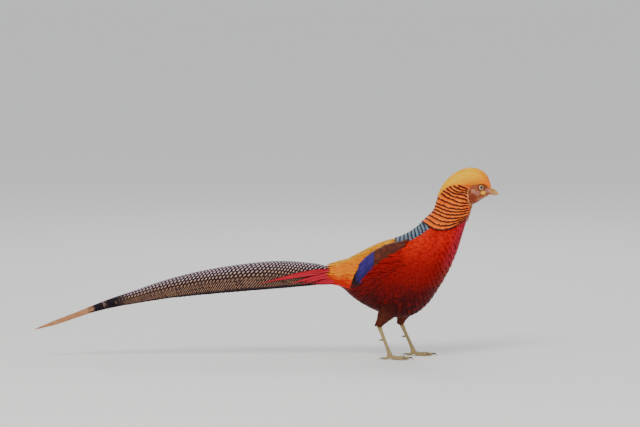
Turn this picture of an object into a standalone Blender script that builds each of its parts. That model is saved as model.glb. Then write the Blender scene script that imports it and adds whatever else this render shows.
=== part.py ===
"""A golden pheasant cock, life size, standing with its long tail held level.

Metres, +Z up, +X towards the bill, +Y the bird's left. The origin is on the floor under the middle.
The body is one smooth surface from the tail root to the bill, parted into named pieces, and every
feather is laid on that surface, or on the roof-shaped surface of the folded tail.
"""

import math

import bmesh
import bpy
import numpy as np

GAP = 0.0003            # between pieces that touch
FACET = 0.0005          # how far the flat faces of a curved piece may stand off its true surface
VANE = 0.0007           # thickness of a feather
RIGHT, LEFT = -1.0, 1.0
SIDE_NAMES = {RIGHT: "right", LEFT: "left"}

# The body's outline from the tail root to the bill: back x, z, belly x, z, half width
BODY = (
    (0.1075, 0.1932, 0.1096, 0.1694, 0.0120),
    (0.1376, 0.1990, 0.1419, 0.1608, 0.0220),
    (0.1656, 0.2085, 0.1634, 0.1522, 0.0310),
    (0.1935, 0.2215, 0.1806, 0.1370, 0.0400),
    (0.2279, 0.2395, 0.2064, 0.1176, 0.0480),
    (0.2623, 0.2535, 0.2451, 0.0982, 0.0540),
    (0.2924, 0.2640, 0.2924, 0.0863, 0.0580),
    (0.3182, 0.2780, 0.3397, 0.1079, 0.0610),
    (0.3386, 0.2955, 0.3762, 0.1565, 0.0590),
    (0.3562, 0.3123, 0.4063, 0.2158, 0.0480),
    (0.3719, 0.3318, 0.4252, 0.2758, 0.0370),
    (0.3892, 0.3562, 0.4364, 0.3107, 0.0285),
    (0.4076, 0.3728, 0.4427, 0.3296, 0.0235),
    (0.4257, 0.3842, 0.4515, 0.3356, 0.0205),
    (0.4472, 0.3900, 0.4622, 0.3421, 0.0180),
    (0.4680, 0.3835, 0.4730, 0.3485, 0.0135),
    (0.4838, 0.3680, 0.4805, 0.3518, 0.0070),
)
BODY_DROOP = 0.10       # how much fuller the sides are below than above
BODY_SIDES = 24
ROW_FILL = 0.485        # half a feather's width in a row, as a share of its place
# Where the body is parted, counted in stations of BODY
TAIL_ROOT = 1.2
COVERTS_END = 2.2
RUMP_END = 5.5
TORSO_END = 9.2
NECK_END = 12.55
BILL_BASE = 16.0

# The folded tail, a roof from root to tip: ridge x, z, lower edge x, z, half width
TAIL = (
    (0.1376, 0.2010, 0.1419, 0.1625, 0.0215),
    (0.0731, 0.2075, 0.0740, 0.1560, 0.0270),
    (0.0129, 0.2090, 0.0120, 0.1510, 0.0290),
    (-0.0709, 0.2000, -0.0710, 0.1440, 0.0270),
    (-0.1441, 0.1870, -0.1440, 0.1370, 0.0235),
    (-0.2172, 0.1683, -0.2170, 0.1280, 0.0190),
    (-0.2838, 0.1455, -0.2840, 0.1170, 0.0150),
    (-0.3462, 0.1241, -0.3460, 0.1050, 0.0110),
    (-0.3999, 0.1014, -0.4030, 0.0885, 0.0080),
    (-0.4480, 0.0820, -0.4500, 0.0725, 0.0055),
    (-0.4990, 0.0605, -0.5005, 0.0580, 0.0022),
)
TAIL_START = -0.03      # station of the feathers' roots, inside the fleshy root
TAIL_INSET = 0.0028     # how far the tail's fleshy root lies inside the feathers
TAIL_CORE = (-0.25, 0.0, 0.22, 0.44)    # its stations
TAIL_BULGE = 0.0035
TAIL_LAYER = 0.0012     # from one tail feather to the next one below it
TAIL_SUNK = 0.0045      # depth of the outermost roots
TAIL_NARROW = 0.010     # half width under which the layers draw together
# Pairs of tail feathers from the middle outwards: station of the tip, and the nearest and farthest
# reach from the ridge as shares of the roof's side, all of which it takes in towards its tip
TAIL_PAIRS = (
    (10.0, -0.06, 0.66),
    (8.7, 0.28, 0.82),
    (7.2, 0.42, 0.93),
    (5.8, 0.54, 0.98),
    (4.2, 0.62, 1.0),
)

# The scarlet tail coverts of one side: where round the roof each starts and ends, its tip's station
COVERTS = (
    (0.44, 0.90, 2.40),
    (0.53, 0.80, 1.62),
    (0.64, 0.93, 1.05),
    (0.74, 0.92, 0.62),
    (0.85, 0.99, 0.38),
)
COVERT_START = -0.33
COVERT_HALF = 0.0036
COVERT_RISE = 0.0012    # the first one's underside over the tail's roof
COVERT_STEP = 0.0009    # and how much more for each next one

# Rows of the long golden rump locks: station, reach round the back in degrees, locks
RUMP_ROWS = (
    (5.40, 24.0, 3),
    (4.65, 32.0, 4),
    (3.90, 42.0, 5),
    (3.20, 66.0, 7),
    (2.62, 114.0, 10),
)
RUMP_LOCK = 0.042
RUMP_HEIGHTS = (-0.0025, 0.0002, 0.0018, 0.0024)
RUMP_LAST_HEIGHTS = (-0.0025, 0.0023, 0.0049, 0.0060)

# Rows of the dark scales of the upper back: station, reach round the back in degrees, scales
MANTLE_ROWS = (
    (8.50, 36.0, 4),
    (7.75, 35.0, 5),
    (7.00, 33.0, 4),
    (6.30, 29.0, 4),
)
MANTLE_SCALE = 0.029
MANTLE_HEIGHTS = (-0.0022, 0.0002, 0.0018, 0.0028)

# How far the crest's outer face stands off the skull and nape at each station of BODY from 10 to
# 16, and how far round to each side it reaches, in degrees
CREST_FIRST = 10
CREST_HEIGHT = (0.0095, 0.0165, 0.0215, 0.0222, 0.0205, 0.0130, 0.0020)
CREST_REACH = (26.0, 44.0, 54.0, 60.0, 61.0, 60.0, 50.0)
CREST_FRONT, CREST_END = 15.85, 10.9
CREST_CORE = 0.78       # the crest's core as a share of its height
# Rows of the crest's locks: station, locks, length
CREST_ROWS = (
    (15.55, 3, 0.040),
    (14.90, 5, 0.050),
    (14.10, 5, 0.056),
    (13.25, 5, 0.054),
    (12.40, 4, 0.044),
)
CREST_ROOT = 0.60       # height of a lock's root, as a share of the crest's there
CREST_SPREAD = 0.84     # how far out the locks root, as a share of the crest's reach

# Roots of the cape's first and last row, as stations against degrees round from the nape
CAPE_FIRST = ((0.0, 80.0, 165.0), (12.35, 12.30, 12.20))
CAPE_LAST = ((0.0, 80.0, 165.0), (9.72, 9.95, 11.15))
CAPE_COUNTS = (8, 9, 10, 11, 12)        # feathers in each row
CAPE_REACH = 160.0
CAPE_FEATHER, CAPE_LAST_FEATHER = 0.034, 0.043
CAPE_HEIGHTS = (-0.0022, 0.0002, 0.0026, 0.0044)
CAPE_LAST_HEIGHTS = (-0.0022, 0.0021, 0.0036, 0.0044)
CAPE_TOP = 0.0060       # what lies over the cape stays above this

# A wing folded on the body, as seen from the side: its middle line, half width and depth
WING_START = (0.2920, 0.2465)
WING_TOWARD = (-0.93, 0.0, -0.37)
WING_BEND = 0.84        # how much it turns down along its length, in radians
WING_LENGTH = 0.150
WING_STEPS = 12
WING_HALF = (0.0070, 0.0120, 0.0125, 0.0120, 0.0110, 0.0040)
WING_DEPTH = (0.0020, 0.0050, 0.0056, 0.0045, 0.0030, 0.0012)
WING_CLEAR = 0.0010     # between the wing and the body
# Feathers of a wing: first and last root along it, how far those are in front of its middle line,
# turn from its course, length, half width, undersides at root and tip, count
WING_FEATHERS = (
    (0.50, 0.74, -0.003, 0.003, -0.05, 0.048, 0.0062, 0.0014, 0.0008, 3),
    (0.28, 0.54, -0.005, 0.001, -0.10, 0.054, 0.0074, 0.0034, 0.0028, 3),
    (0.03, 0.20, -0.002, 0.001, -0.05, 0.036, 0.0084, 0.0034, 0.0052, 2),
)
WING_FEATHER_STEP = 0.0011      # each feather of a group lies this much below the one before it

# Long scarlet flank feathers, rooted in torso and rump along the wing's front and laid over its edge
FLANK_ROOTS = (0.05, 0.80, 0.028, 5)    # first and last along the wing, how far in front, count
FLANK_TURN = 0.42
FLANK_LENGTH, FLANK_HALF = 0.042, 0.0092
FLANK_HEIGHTS = (-0.0030, 0.0012, 0.0040, 0.0066)

# Legs: hip, heel and foot of each side as x, y, z
LEGS = {
    RIGHT: ((0.2800, -0.0190, 0.1330), (0.2420, -0.0300, 0.0740), (0.2655, -0.0330, 0.0)),
    LEFT: ((0.3090, 0.0190, 0.1330), (0.2905, 0.0300, 0.0740), (0.3180, 0.0330, 0.0)),
}
THIGH_SHARES = (0.0, 0.35, 0.68, 0.90, 1.15)
THIGH_RADII = (0.0250, 0.0225, 0.0140, 0.0082, 0.0060)
SHANK_SHARES = (-0.06, 0.08, 0.30, 0.60, 0.82, 1.0)
SHANK_RADII = (0.0058, 0.0048, 0.0037, 0.0034, 0.0037, 0.0048)
ANKLE = 0.0125          # height of the parting between shank and foot
SPUR = ((0.50, 0.0024), (0.52, 0.0018), (0.49, 0.0007))
SPUR_LENGTH = 0.012
# Toes: degrees out from straight ahead, length, radius
TOES = (
    (-28.0, 0.033, 0.0031),
    (1.0, 0.043, 0.0034),
    (30.0, 0.034, 0.0031),
    (172.0, 0.014, 0.0027),
)
TOE_FLAT = 0.0005       # how much the pads are pressed flat on the ground
CLAW = 0.0090

EYE_AT = (0.4619, 0.3691)
EYE_RADIUS = 0.0064
EYE_DEPTH = 0.0038      # how far the eye's middle is inside the cheek
LID_RADIUS = 0.0057
LID_THICK = 0.0009
WATTLE = (0.0045, -0.0105)      # from the eye, as seen from the side
MOUTH_LINE = ((0.4840, 0.3562), (0.4790, 0.3556), (0.4740, 0.3546), (0.4700, 0.3530))
MOUTH_RADIUS = 0.0007

# The two halves of the bill: top x, z, lower edge x, z and half width, from the base to the tip
UPPER_BILL = (
    (0.0, 0.3668, 0.0, 0.3566, 0.0058),
    (0.4885, 0.3655, 0.4872, 0.3563, 0.0052),
    (0.4930, 0.3632, 0.4918, 0.3556, 0.0042),
    (0.4968, 0.3598, 0.4956, 0.3545, 0.0029),
    (0.4996, 0.3560, 0.4988, 0.3530, 0.0016),
    (0.5007, 0.3533, 0.5003, 0.3522, 0.0005),
)
LOWER_BILL = (
    (0.0, 0.3560, 0.0, 0.3522, 0.0050),
    (0.4880, 0.3557, 0.4880, 0.3516, 0.0044),
    (0.4920, 0.3550, 0.4922, 0.3514, 0.0035),
    (0.4956, 0.3540, 0.4960, 0.3512, 0.0022),
    (0.4980, 0.3524, 0.4982, 0.3511, 0.0008),
)
NOSTRIL = (0.4882, 0.3622)


def smooth(values):
    """A natural cubic curve through evenly numbered rows, as a function of the row number."""
    rows = np.array(values, float)
    count = len(rows)
    links = 4 * np.eye(count) + np.eye(count, k=1) + np.eye(count, k=-1)
    links[0] = links[-1] = 0
    links[0, 0] = links[-1, -1] = 1
    bends = np.zeros_like(rows)
    bends[1:-1] = 6 * (rows[2:] - 2 * rows[1:-1] + rows[:-2])
    bends = np.linalg.solve(links, bends)

    def at(number):
        low = int(min(max(math.floor(number), 0), count - 2))
        f = number - low
        g = 1 - f
        return (g * rows[low] + f * rows[low + 1]
                + (g ** 3 - g) * bends[low] / 6 + (f ** 3 - f) * bends[low + 1] / 6)

    return at


body_row = smooth(BODY)
tail_row = smooth(TAIL)
crest_row = smooth(np.column_stack((CREST_HEIGHT, CREST_REACH)))


def body_point(u, v):
    """A point of the body at station u, v radians round from the back towards the left."""
    back_x, back_z, belly_x, belly_z, half = body_row(u)
    rise = math.cos(v)
    return np.array((
        (back_x + belly_x) / 2 + rise * (back_x - belly_x) / 2,
        half * math.sin(v) * (1 - BODY_DROOP * rise),
        (back_z + belly_z) / 2 + rise * (back_z - belly_z) / 2,
    ))


def tail_point(s, f):
    """A point of the tail's roof at station s, f from 0 on the ridge to 1 on the left lower edge."""
    ridge_x, ridge_z, edge_x, edge_z, half = tail_row(s)
    angle = f * math.pi / 2
    share = math.cos(angle)
    return np.array((
        edge_x + share * (ridge_x - edge_x),
        half * math.sin(angle),
        edge_z + share * (ridge_z - edge_z),
    ))


def unit(vector):
    return vector / np.linalg.norm(vector)


class Surface:
    """A surface that feathers lie on. Its first number runs along the bird and its second round it."""

    def __init__(self, point, backward):
        self.point = point
        self.backward = backward  # the sign of the first number's change towards the tail's tip

    def slopes(self, a, b):
        small = 1e-3
        along = (self.point(a + small, b) - self.point(a - small, b)) / (2 * small)
        around = (self.point(a, b + small) - self.point(a, b - small)) / (2 * small)
        return along, around, unit(np.cross(around, along) * self.backward)

    def at(self, a, b, height=0.0):
        return self.point(a, b) + height * self.slopes(a, b)[2]

    def trail(self, a, b, length, steps, heading=0.0, bend=0.0, toward=None):
        """The midline of a feather laid from (a, b), and the change of (a, b) for a metre to its left.
        It points to the tail, or along the vector toward, turned by heading to the bird's left."""
        line, sides = [], []
        for i in range(steps + 1):
            along, around, normal = self.slopes(a, b)
            ahead = along * self.backward if toward is None else np.array(toward, float)
            ahead = unit(ahead - normal * np.dot(ahead, normal))
            left = around - normal * np.dot(around, normal)
            left = unit(left - ahead * np.dot(left, ahead))
            angle = heading + bend * i / steps
            course = ahead * math.cos(angle) + left * math.sin(angle)
            across = left * math.cos(angle) - ahead * math.sin(angle)
            slopes = np.column_stack((along, around))
            step = np.linalg.lstsq(slopes, course, rcond=None)[0] * length / steps
            line.append((a, b))
            sides.append(np.linalg.lstsq(slopes, across, rcond=None)[0])
            a, b = a + step[0], b + step[1]
        return line, sides

    def find(self, x, z, side):
        """The numbers of the point that shows at x, z from that side."""
        a, b = min(
            ((a, b * side) for a in np.arange(0.5, 16, 0.5) for b in np.arange(0.2, 3.1, 0.2)),
            key=lambda ab: np.linalg.norm(self.point(*ab)[[0, 2]] - (x, z)),
        )
        for _ in range(8):
            along, around, _ = self.slopes(a, b)
            miss = np.array((x, z)) - self.point(a, b)[[0, 2]]
            change = np.linalg.lstsq(np.column_stack((along, around))[[0, 2]], miss, rcond=None)[0]
            a, b = a + change[0], b + change[1]
        return a, b


body = Surface(body_point, backward=-1)
tail_roof = Surface(tail_point, backward=1)


def clear_scene():
    for obj in list(bpy.data.objects):
        bpy.data.objects.remove(obj, do_unlink=True)


def material(name, colour, roughness=0.6):
    made = bpy.data.materials.new(name)
    made.use_nodes = True
    shader = made.node_tree.nodes["Principled BSDF"]
    shader.inputs["Base Color"].default_value = (*colour, 1.0)
    shader.inputs["Roughness"].default_value = roughness
    return made


def mesh_object(name, points, faces):
    """A closed mesh with its faces turned outwards."""
    mesh = bpy.data.meshes.new(name)
    mesh.from_pydata([tuple(map(float, p)) for p in points], [], faces)
    shape = bmesh.new()
    shape.from_mesh(mesh)
    bmesh.ops.remove_doubles(shape, verts=shape.verts, dist=1e-6)
    bmesh.ops.recalc_face_normals(shape, faces=shape.faces)
    if shape.calc_volume(signed=True) < 0:
        bmesh.ops.reverse_faces(shape, faces=shape.faces)
    shape.to_mesh(mesh)
    shape.free()
    obj = bpy.data.objects.new(name, mesh)
    bpy.context.scene.collection.objects.link(obj)
    return obj


def loft(name, rings):
    """A closed body through rings of equally many points, with a flat cap at each end."""
    count = len(rings[0])
    points = [p for ring in rings for p in ring]
    faces = [tuple(range(count)), tuple(len(points) - 1 - i for i in range(count))]
    for r in range(len(rings) - 1):
        for i in range(count):
            j = (i + 1) % count
            faces.append((r * count + i, r * count + j, (r + 1) * count + j, (r + 1) * count + i))
    return mesh_object(name, points, faces)


def sheet(name, top, under):
    """A thin closed body between two grids of points, split into triangles alike on both."""
    rows, across = len(top), len(top[0])
    points = [p for row in top for p in row] + [p for row in under for p in row]
    below = rows * across
    faces = []
    for r in range(rows - 1):
        for i in range(across - 1):
            a, b = r * across + i, r * across + i + 1
            d, c = a + across, b + across
            for tri in ((a, b, c), (a, c, d)):
                faces += [tri, tuple(below + p for p in reversed(tri))]
    rim = [(0, i) for i in range(across)] + [(r, across - 1) for r in range(1, rows)]
    rim += [(rows - 1, i) for i in range(across - 2, -1, -1)] + [(r, 0) for r in range(rows - 2, 0, -1)]
    for (r, i), (s, j) in zip(rim, rim[1:] + rim[:1]):
        p, q = r * across + i, s * across + j
        faces.append((q, p, below + p, below + q))
    return mesh_object(name, points, faces)


def evaluated(obj):
    graph = bpy.context.evaluated_depsgraph_get()
    return bpy.data.meshes.new_from_object(obj.evaluated_get(graph))


def keep_largest(obj):
    """Leaves only the largest closed surface of the mesh."""
    shape = bmesh.new()
    shape.from_mesh(obj.data)
    left = set(shape.faces)
    groups = []
    while left:
        group, front = set(), [left.pop()]
        while front:
            face = front.pop()
            group.add(face)
            for near in (n for e in face.edges for n in e.link_faces if n in left):
                left.discard(near)
                front.append(near)
        groups.append(group)
    sizes = [sum(f.calc_area() for f in group) for group in groups]
    keep = groups[sizes.index(max(sizes))]
    bmesh.ops.delete(shape, geom=[f for f in shape.faces if f not in keep], context="FACES")
    shape.to_mesh(obj.data)
    shape.free()


def boolean(obj, operation, others, solver="EXACT"):
    """Joins the other closed meshes to obj, or cuts them from it, and removes them."""
    group = bpy.data.collections.new(obj.name + "_" + operation.lower())
    bpy.context.scene.collection.children.link(group)
    for other in others:
        bpy.context.scene.collection.objects.unlink(other)
        group.objects.link(other)
    cut = obj.modifiers.new(operation.title(), "BOOLEAN")
    cut.operation = operation
    cut.operand_type = "COLLECTION"
    cut.collection = group
    cut.solver = solver
    bpy.context.view_layer.update()
    obj.data = evaluated(obj)
    obj.modifiers.clear()
    for other in others:
        bpy.data.objects.remove(other, do_unlink=True)
    bpy.data.collections.remove(group)
    keep_largest(obj)


def trim(obj, point, outward):
    """Cuts off what lies beyond a plane and closes the cut with flat faces."""
    shape = bmesh.new()
    shape.from_mesh(obj.data)
    parts = list(shape.verts) + list(shape.edges) + list(shape.faces)
    cut = bmesh.ops.bisect_plane(shape, geom=parts, plane_co=point, plane_no=outward, clear_outer=True)
    rim = [part for part in cut["geom_cut"] if isinstance(part, bmesh.types.BMEdge)]
    bmesh.ops.edgeloop_fill(shape, edges=rim)
    bmesh.ops.recalc_face_normals(shape, faces=shape.faces)
    shape.to_mesh(obj.data)
    shape.free()


def tube(name, points, radii, sides=6):
    """A closed limb through points, with a radius at each."""
    curve = bpy.data.curves.new(name, "CURVE")
    curve.dimensions = "3D"
    curve.bevel_depth = 1.0
    curve.bevel_resolution = sides // 2 - 2
    curve.use_fill_caps = True
    line = curve.splines.new("POLY")
    line.points.add(len(points) - 1)
    for knot, point, radius in zip(line.points, points, radii):
        knot.co = (*map(float, point), 1.0)
        knot.radius = radius
    obj = bpy.data.objects.new(name, curve)
    bpy.context.scene.collection.objects.link(obj)
    mesh = evaluated(obj)
    bpy.data.objects.remove(obj, do_unlink=True)
    return mesh_object(name, [v.co for v in mesh.vertices], [tuple(p.vertices) for p in mesh.polygons])


def ball(name, centre, radii, segments=12, rings=8):
    shape = bmesh.new()
    bmesh.ops.create_uvsphere(shape, u_segments=segments, v_segments=rings, radius=1.0)
    points = [np.array(centre) + np.array(v.co) * np.array(radii) for v in shape.verts]
    faces = [tuple(v.index for v in f.verts) for f in shape.faces]
    shape.free()
    return mesh_object(name, points, faces)


def body_ring(u, height=0.0, lean=0.0):
    """The body's section at station u. With lean it is kept flat and moved by lean towards the bill."""
    ring = [body.at(u, 2 * math.pi * i / BODY_SIDES, height) for i in range(BODY_SIDES)]
    if lean:
        back, belly = body.point(u, 0.0), body.point(u, math.pi)
        ahead = unit(np.cross((0, 1, 0), back - belly))
        ring = [p + ahead * (lean - np.dot(p - back, ahead)) for p in ring]
    return ring


def body_piece(name, start, end, rings, height=0.0):
    """A length of the body, parted from its neighbours by half the gap at each end."""
    stations = np.linspace(start, end, rings)
    sections = [body_ring(start, height, GAP / 2)]
    sections += [body_ring(u, height) for u in stations[1:-1]]
    sections += [body_ring(end, height, -GAP / 2)]
    return loft(name, sections)


def cover(name, surface, rows, shares, place):
    """A sheet over a surface: place gives its numbers, underside and top for a row and a share."""
    top, under = [], []
    for row in rows:
        spots = [place(row, share) for share in shares]
        top.append([surface.at(a, b, high) for a, b, low, high in spots])
        under.append([surface.at(a, b, low) for a, b, low, high in spots])
    return sheet(name, top, under)


# A feather's half width at even steps from its root to its tip, as a share of the widest
SCALE = (0.75, 1.0, 0.40)
SQUARE = (0.75, 1.0, 0.70)
LOCK = (0.75, 1.0, 0.85, 0.20)
BLADE = (0.65, 1.0, 0.85, 0.22)
SPEAR = (0.80, 1.0, 0.90, 0.60, 0.12)


def rising(heights):
    """The underside of a feather over its surface, given at even steps from root to tip."""
    marks = np.linspace(0, 1, len(heights))
    return lambda t, a, b: np.interp(t, marks, heights)


def vane(surface, start, length, half, lift, outline=SCALE, **course):
    """One feather: a thin sheet along a trail on the surface, with its underside as high above it
    as lift says for its share from root to tip and its place."""
    steps = len(outline) - 1
    line, sides = surface.trail(*start, length, steps, **course)

    def place(row, share):
        (a, b), side, width = line[row], sides[row], outline[row] * half
        low = lift(row / steps, a, b)
        return a + side[0] * width * share, b + side[1] * width * share, low, low + VANE

    return cover("vane", surface, range(steps + 1), (-1, 1), place)


def vane_row(u_of, reach, count, odd, length, lift, outline):
    """A row of feathers round the body, side by side, that narrow as the body does."""
    step = 2 * math.radians(reach) / count
    steps = len(outline) - 1
    row = []
    for v in row_angles(reach, count, odd):
        line, _ = body.trail(u_of(v), v, length, steps)

        def place(number, share):
            a, b = line[number]
            low = lift(number / steps, a, b)
            return a, b + share * outline[number] * step * ROW_FILL, low, low + VANE

        row.append(cover("vane", body, range(steps + 1), (-1, 1), place))
    return row


def row_angles(reach, count, odd):
    """Even places round the back out to reach on both sides, moved by half a place in odd rows."""
    step = 2 * math.radians(reach) / count
    return [step * (i - (count - 1) / 2 + (0.5 if odd else 0.0)) for i in range(count - (1 if odd else 0))]


def shade(obj, finish):
    obj.data.materials.clear()
    obj.data.materials.append(finish)
    obj.data.shade_smooth()
    obj.data.set_sharp_from_angle(angle=math.radians(35))


def crest_height(u, v):
    """How far the crest's outer face stands off the skull and nape."""
    height, reach = crest_row(u - CREST_FIRST)
    across = min(abs(math.degrees(v)) / reach, 1.0)
    return height * max(math.cos(across * math.pi / 2), 0.0) ** 0.55


def crest_floor(u):
    """How far the crest's underside stays off the body: over the neck it clears the cape too."""
    return GAP + FACET if u > NECK_END + 0.1 else CAPE_TOP + GAP


def build_crest(finish):
    """The silky crest: a core over skull and nape under rows of locks that sweep back."""
    def place(u, share):
        v = share * math.radians(crest_row(u - CREST_FIRST)[1]) * CREST_SPREAD
        low = crest_floor(u)
        return u, v, low, max(crest_height(u, v) * CREST_CORE, low + VANE)

    def lift(t, u, v):
        return max(crest_height(u, v) * (CREST_ROOT + (1 - CREST_ROOT) * t) - VANE, crest_floor(u))

    crest = cover("crest", body, np.linspace(CREST_FRONT, CREST_END, 13), np.linspace(-1, 1, 9), place)
    locks = []
    for u, count, length in CREST_ROWS:
        reach = crest_row(u - CREST_FIRST)[1] * CREST_SPREAD
        locks += vane_row(lambda v: u, reach, count, False, length, lift, LOCK)
    boolean(crest, "UNION", locks)
    shade(crest, finish)


def eye_frame(side):
    """The middle of an eyeball and the direction it looks."""
    a, b = body.find(*EYE_AT, side)
    outward = body.slopes(a, b)[2]
    return body.point(a, b) - outward * EYE_DEPTH, outward


def ring_about(name, centre, axis, radius, thick, sides=6, count=14):
    """A ring round an axis, such as the lids round an eye."""
    first = unit(np.cross(axis, (0.0, 0.0, 1.0)))
    second = np.cross(axis, first)
    points, faces = [], []
    for i in range(count):
        turn = 2 * math.pi * i / count
        out = first * math.cos(turn) + second * math.sin(turn)
        for j in range(sides):
            roll = 2 * math.pi * j / sides
            points.append(centre + out * (radius + thick * math.cos(roll)) + axis * thick * math.sin(roll))
            here, beyond = i * sides, (i + 1) % count * sides
            faces.append((here + j, here + (j + 1) % sides, beyond + (j + 1) % sides, beyond + j))
    return mesh_object(name, points, faces)


def build_head(finish):
    """Skull, face and throat, with an eye socket, lids, a small wattle and the mouth's corners."""
    head = body_piece("head", NECK_END, BILL_BASE, 14)
    additions, cuts = [], []
    for side in SIDE_NAMES:
        eye, outward = eye_frame(side)
        rim = eye + outward * EYE_DEPTH
        additions.append(ring_about("lids", rim, outward, LID_RADIUS, LID_THICK))
        spot = body.find(EYE_AT[0] + WATTLE[0], EYE_AT[1] + WATTLE[1], side)
        additions.append(ball("wattle", body.at(*spot, -0.0006), (0.0050, 0.0018, 0.0030), 10, 6))
        cuts.append(ball("socket", eye, [EYE_RADIUS + GAP] * 3, 14, 10))
        mouth = [body.at(*body.find(x, z, side)) for x, z in MOUTH_LINE]
        cuts.append(tube("mouth", mouth, [MOUTH_RADIUS] * len(mouth)))
    boolean(head, "UNION", additions)
    boolean(head, "DIFFERENCE", cuts)
    shade(head, finish)


def build_eyes(finish):
    for side, name in SIDE_NAMES.items():
        eye = ball(f"eye_{name}", eye_frame(side)[0], [EYE_RADIUS] * 3, 14, 10)
        shade(eye, finish)


def build_bill_half(name, rows, cuts, finish):
    """One half of the bill, lofted from its rows, the first of which lies on the head's end face."""
    back, belly = body.point(BILL_BASE, 0.0), body.point(BILL_BASE, math.pi)
    rings = []
    for number, (top_x, top_z, edge_x, edge_z, half) in enumerate(rows):
        if number == 0:
            top_x, edge_x = (
                back[0] + (z - back[2]) * (back[0] - belly[0]) / (back[2] - belly[2]) + GAP / 2
                for z in (top_z, edge_z)
            )
        ring = []
        for i in range(12):
            angle = 2 * math.pi * i / 12
            rise = math.cos(angle)
            ring.append((
                (top_x + edge_x) / 2 + rise * (top_x - edge_x) / 2,
                half * math.sin(angle),
                (top_z + edge_z) / 2 + rise * (top_z - edge_z) / 2,
            ))
        rings.append(ring)
    made = loft(name, rings)
    if cuts:
        boolean(made, "DIFFERENCE", cuts)
    shade(made, finish)


def build_bill(finish):
    """The short curved bill, with a nostril on each side of its upper half."""
    nostrils = [
        ball("nostril", (NOSTRIL[0], side * 0.0052, NOSTRIL[1]), (0.0022, 0.0016, 0.0009), 8, 6)
        for side in SIDE_NAMES
    ]
    build_bill_half("bill_upper", UPPER_BILL, nostrils, finish)
    build_bill_half("bill_lower", LOWER_BILL, [], finish)


def build_neck(finish):
    """The neck and its cape: rows of broad feathers, each over the next one down."""
    neck = body_piece("neck", TORSO_END, NECK_END, 10)
    feathers = []
    rows = len(CAPE_COUNTS) - 1
    for number, count in enumerate(CAPE_COUNTS):
        def root(v):
            ends = [np.interp(abs(math.degrees(v)), *table) for table in (CAPE_FIRST, CAPE_LAST)]
            return ends[0] + (ends[1] - ends[0]) * number / rows

        length, heights = CAPE_FEATHER, CAPE_HEIGHTS
        if number == rows:
            length, heights = CAPE_LAST_FEATHER, CAPE_LAST_HEIGHTS
        feathers += vane_row(root, CAPE_REACH, count, number % 2, length, rising(heights), SQUARE)
    boolean(neck, "UNION", feathers)
    shade(neck, finish)


def flank_feathers(start, end):
    """The flank feathers of both sides that root between two stations."""
    first, last, front, count = FLANK_ROOTS
    feathers = []
    for side in SIDE_NAMES:
        for t in np.linspace(first, last, count):
            spot, course = wing_spot(side, t, front)
            if start < spot[0] < end:
                feathers.append(vane(body, spot, FLANK_LENGTH, FLANK_HALF, rising(FLANK_HEIGHTS),
                                     heading=course - side * FLANK_TURN, toward=WING_TOWARD))
    return feathers


def build_torso(finish):
    """Breast, belly and shoulders, with the scales of the upper back and the long flank feathers."""
    torso = body_piece("torso", RUMP_END, TORSO_END, 11)
    feathers = []
    for u, reach, count in MANTLE_ROWS:
        feathers += vane_row(lambda v: u, reach, count, False, MANTLE_SCALE, rising(MANTLE_HEIGHTS), SCALE)
    feathers += flank_feathers(RUMP_END, TORSO_END)
    boolean(torso, "UNION", feathers)
    shade(torso, finish)


def build_rump(finish):
    """The rump and vent, under long loose locks that fall over the root of the tail, and the flanks."""
    rump = body_piece("rump", COVERTS_END, RUMP_END, 10)
    locks = []
    for number, (u, reach, count) in enumerate(RUMP_ROWS):
        heights = RUMP_LAST_HEIGHTS if number == len(RUMP_ROWS) - 1 else RUMP_HEIGHTS
        locks += vane_row(lambda v: u, reach, count, False, RUMP_LOCK, rising(heights), LOCK)
    locks += flank_feathers(COVERTS_END, RUMP_END)
    boolean(rump, "UNION", locks)
    shade(rump, finish)


def build_coverts(finish):
    """The short length of the body from which the scarlet, spear-shaped tail coverts grow."""
    coverts = body_piece("tail_coverts", TAIL_ROOT, COVERTS_END, 4)
    steps = len(SPEAR) - 1
    spears = []
    for side in SIDE_NAMES:
        for number, (start, end, tip) in enumerate(COVERTS):
            def place(row, share):
                t = row / steps
                s = COVERT_START + (tip - COVERT_START) * t
                f = start + (end - start) * t + share * SPEAR[row] * COVERT_HALF / roof_side(s)
                low = COVERT_RISE + COVERT_STEP * number
                return s, side * f, low, low + VANE

            spears.append(cover("spear", tail_roof, range(steps + 1), (-1, 1), place))
    boolean(coverts, "UNION", spears)
    shade(coverts, finish)


def roof_side(s):
    """About how long one side of the tail's roof is, round from the ridge to the lower edge."""
    _, ridge_z, _, edge_z, half = tail_row(s)
    return math.hypot(half, ridge_z - edge_z) * 1.11


def tail_core():
    """The fleshy root of the tail, inside the feathers' roof and rounded out below."""
    rings = []
    for s in TAIL_CORE:
        ring = [tail_roof.at(s, f, -TAIL_INSET) for f in np.linspace(-1, 1, 13)]
        left, right = ring[-1], ring[0]
        for share in (0.25, 0.5, 0.75):
            low = TAIL_BULGE * math.sin(math.pi * share)
            ring.append(left + (right - left) * share - (0, 0, low))
        rings.append(ring)
    core = loft("tail", rings)
    back, belly = body.point(TAIL_ROOT, 0.0), body.point(TAIL_ROOT, math.pi)
    ahead = unit(np.cross((0, 1, 0), back - belly))
    trim(core, back - ahead * GAP / 2, ahead)
    return core


def build_tail(finish):
    """The tail feathers, nested in a long roof on their fleshy root, the middle pair the longest."""
    tail = tail_core()
    feathers = []
    for number, (tip, near, far) in enumerate(TAIL_PAIRS):
        for side in SIDE_NAMES:
            layer = number + (1 if number or side == LEFT else 0)
            feathers.append(tail_feather(side, layer, tip, near, far))
    boolean(tail, "UNION", feathers)
    shade(tail, finish)


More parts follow.
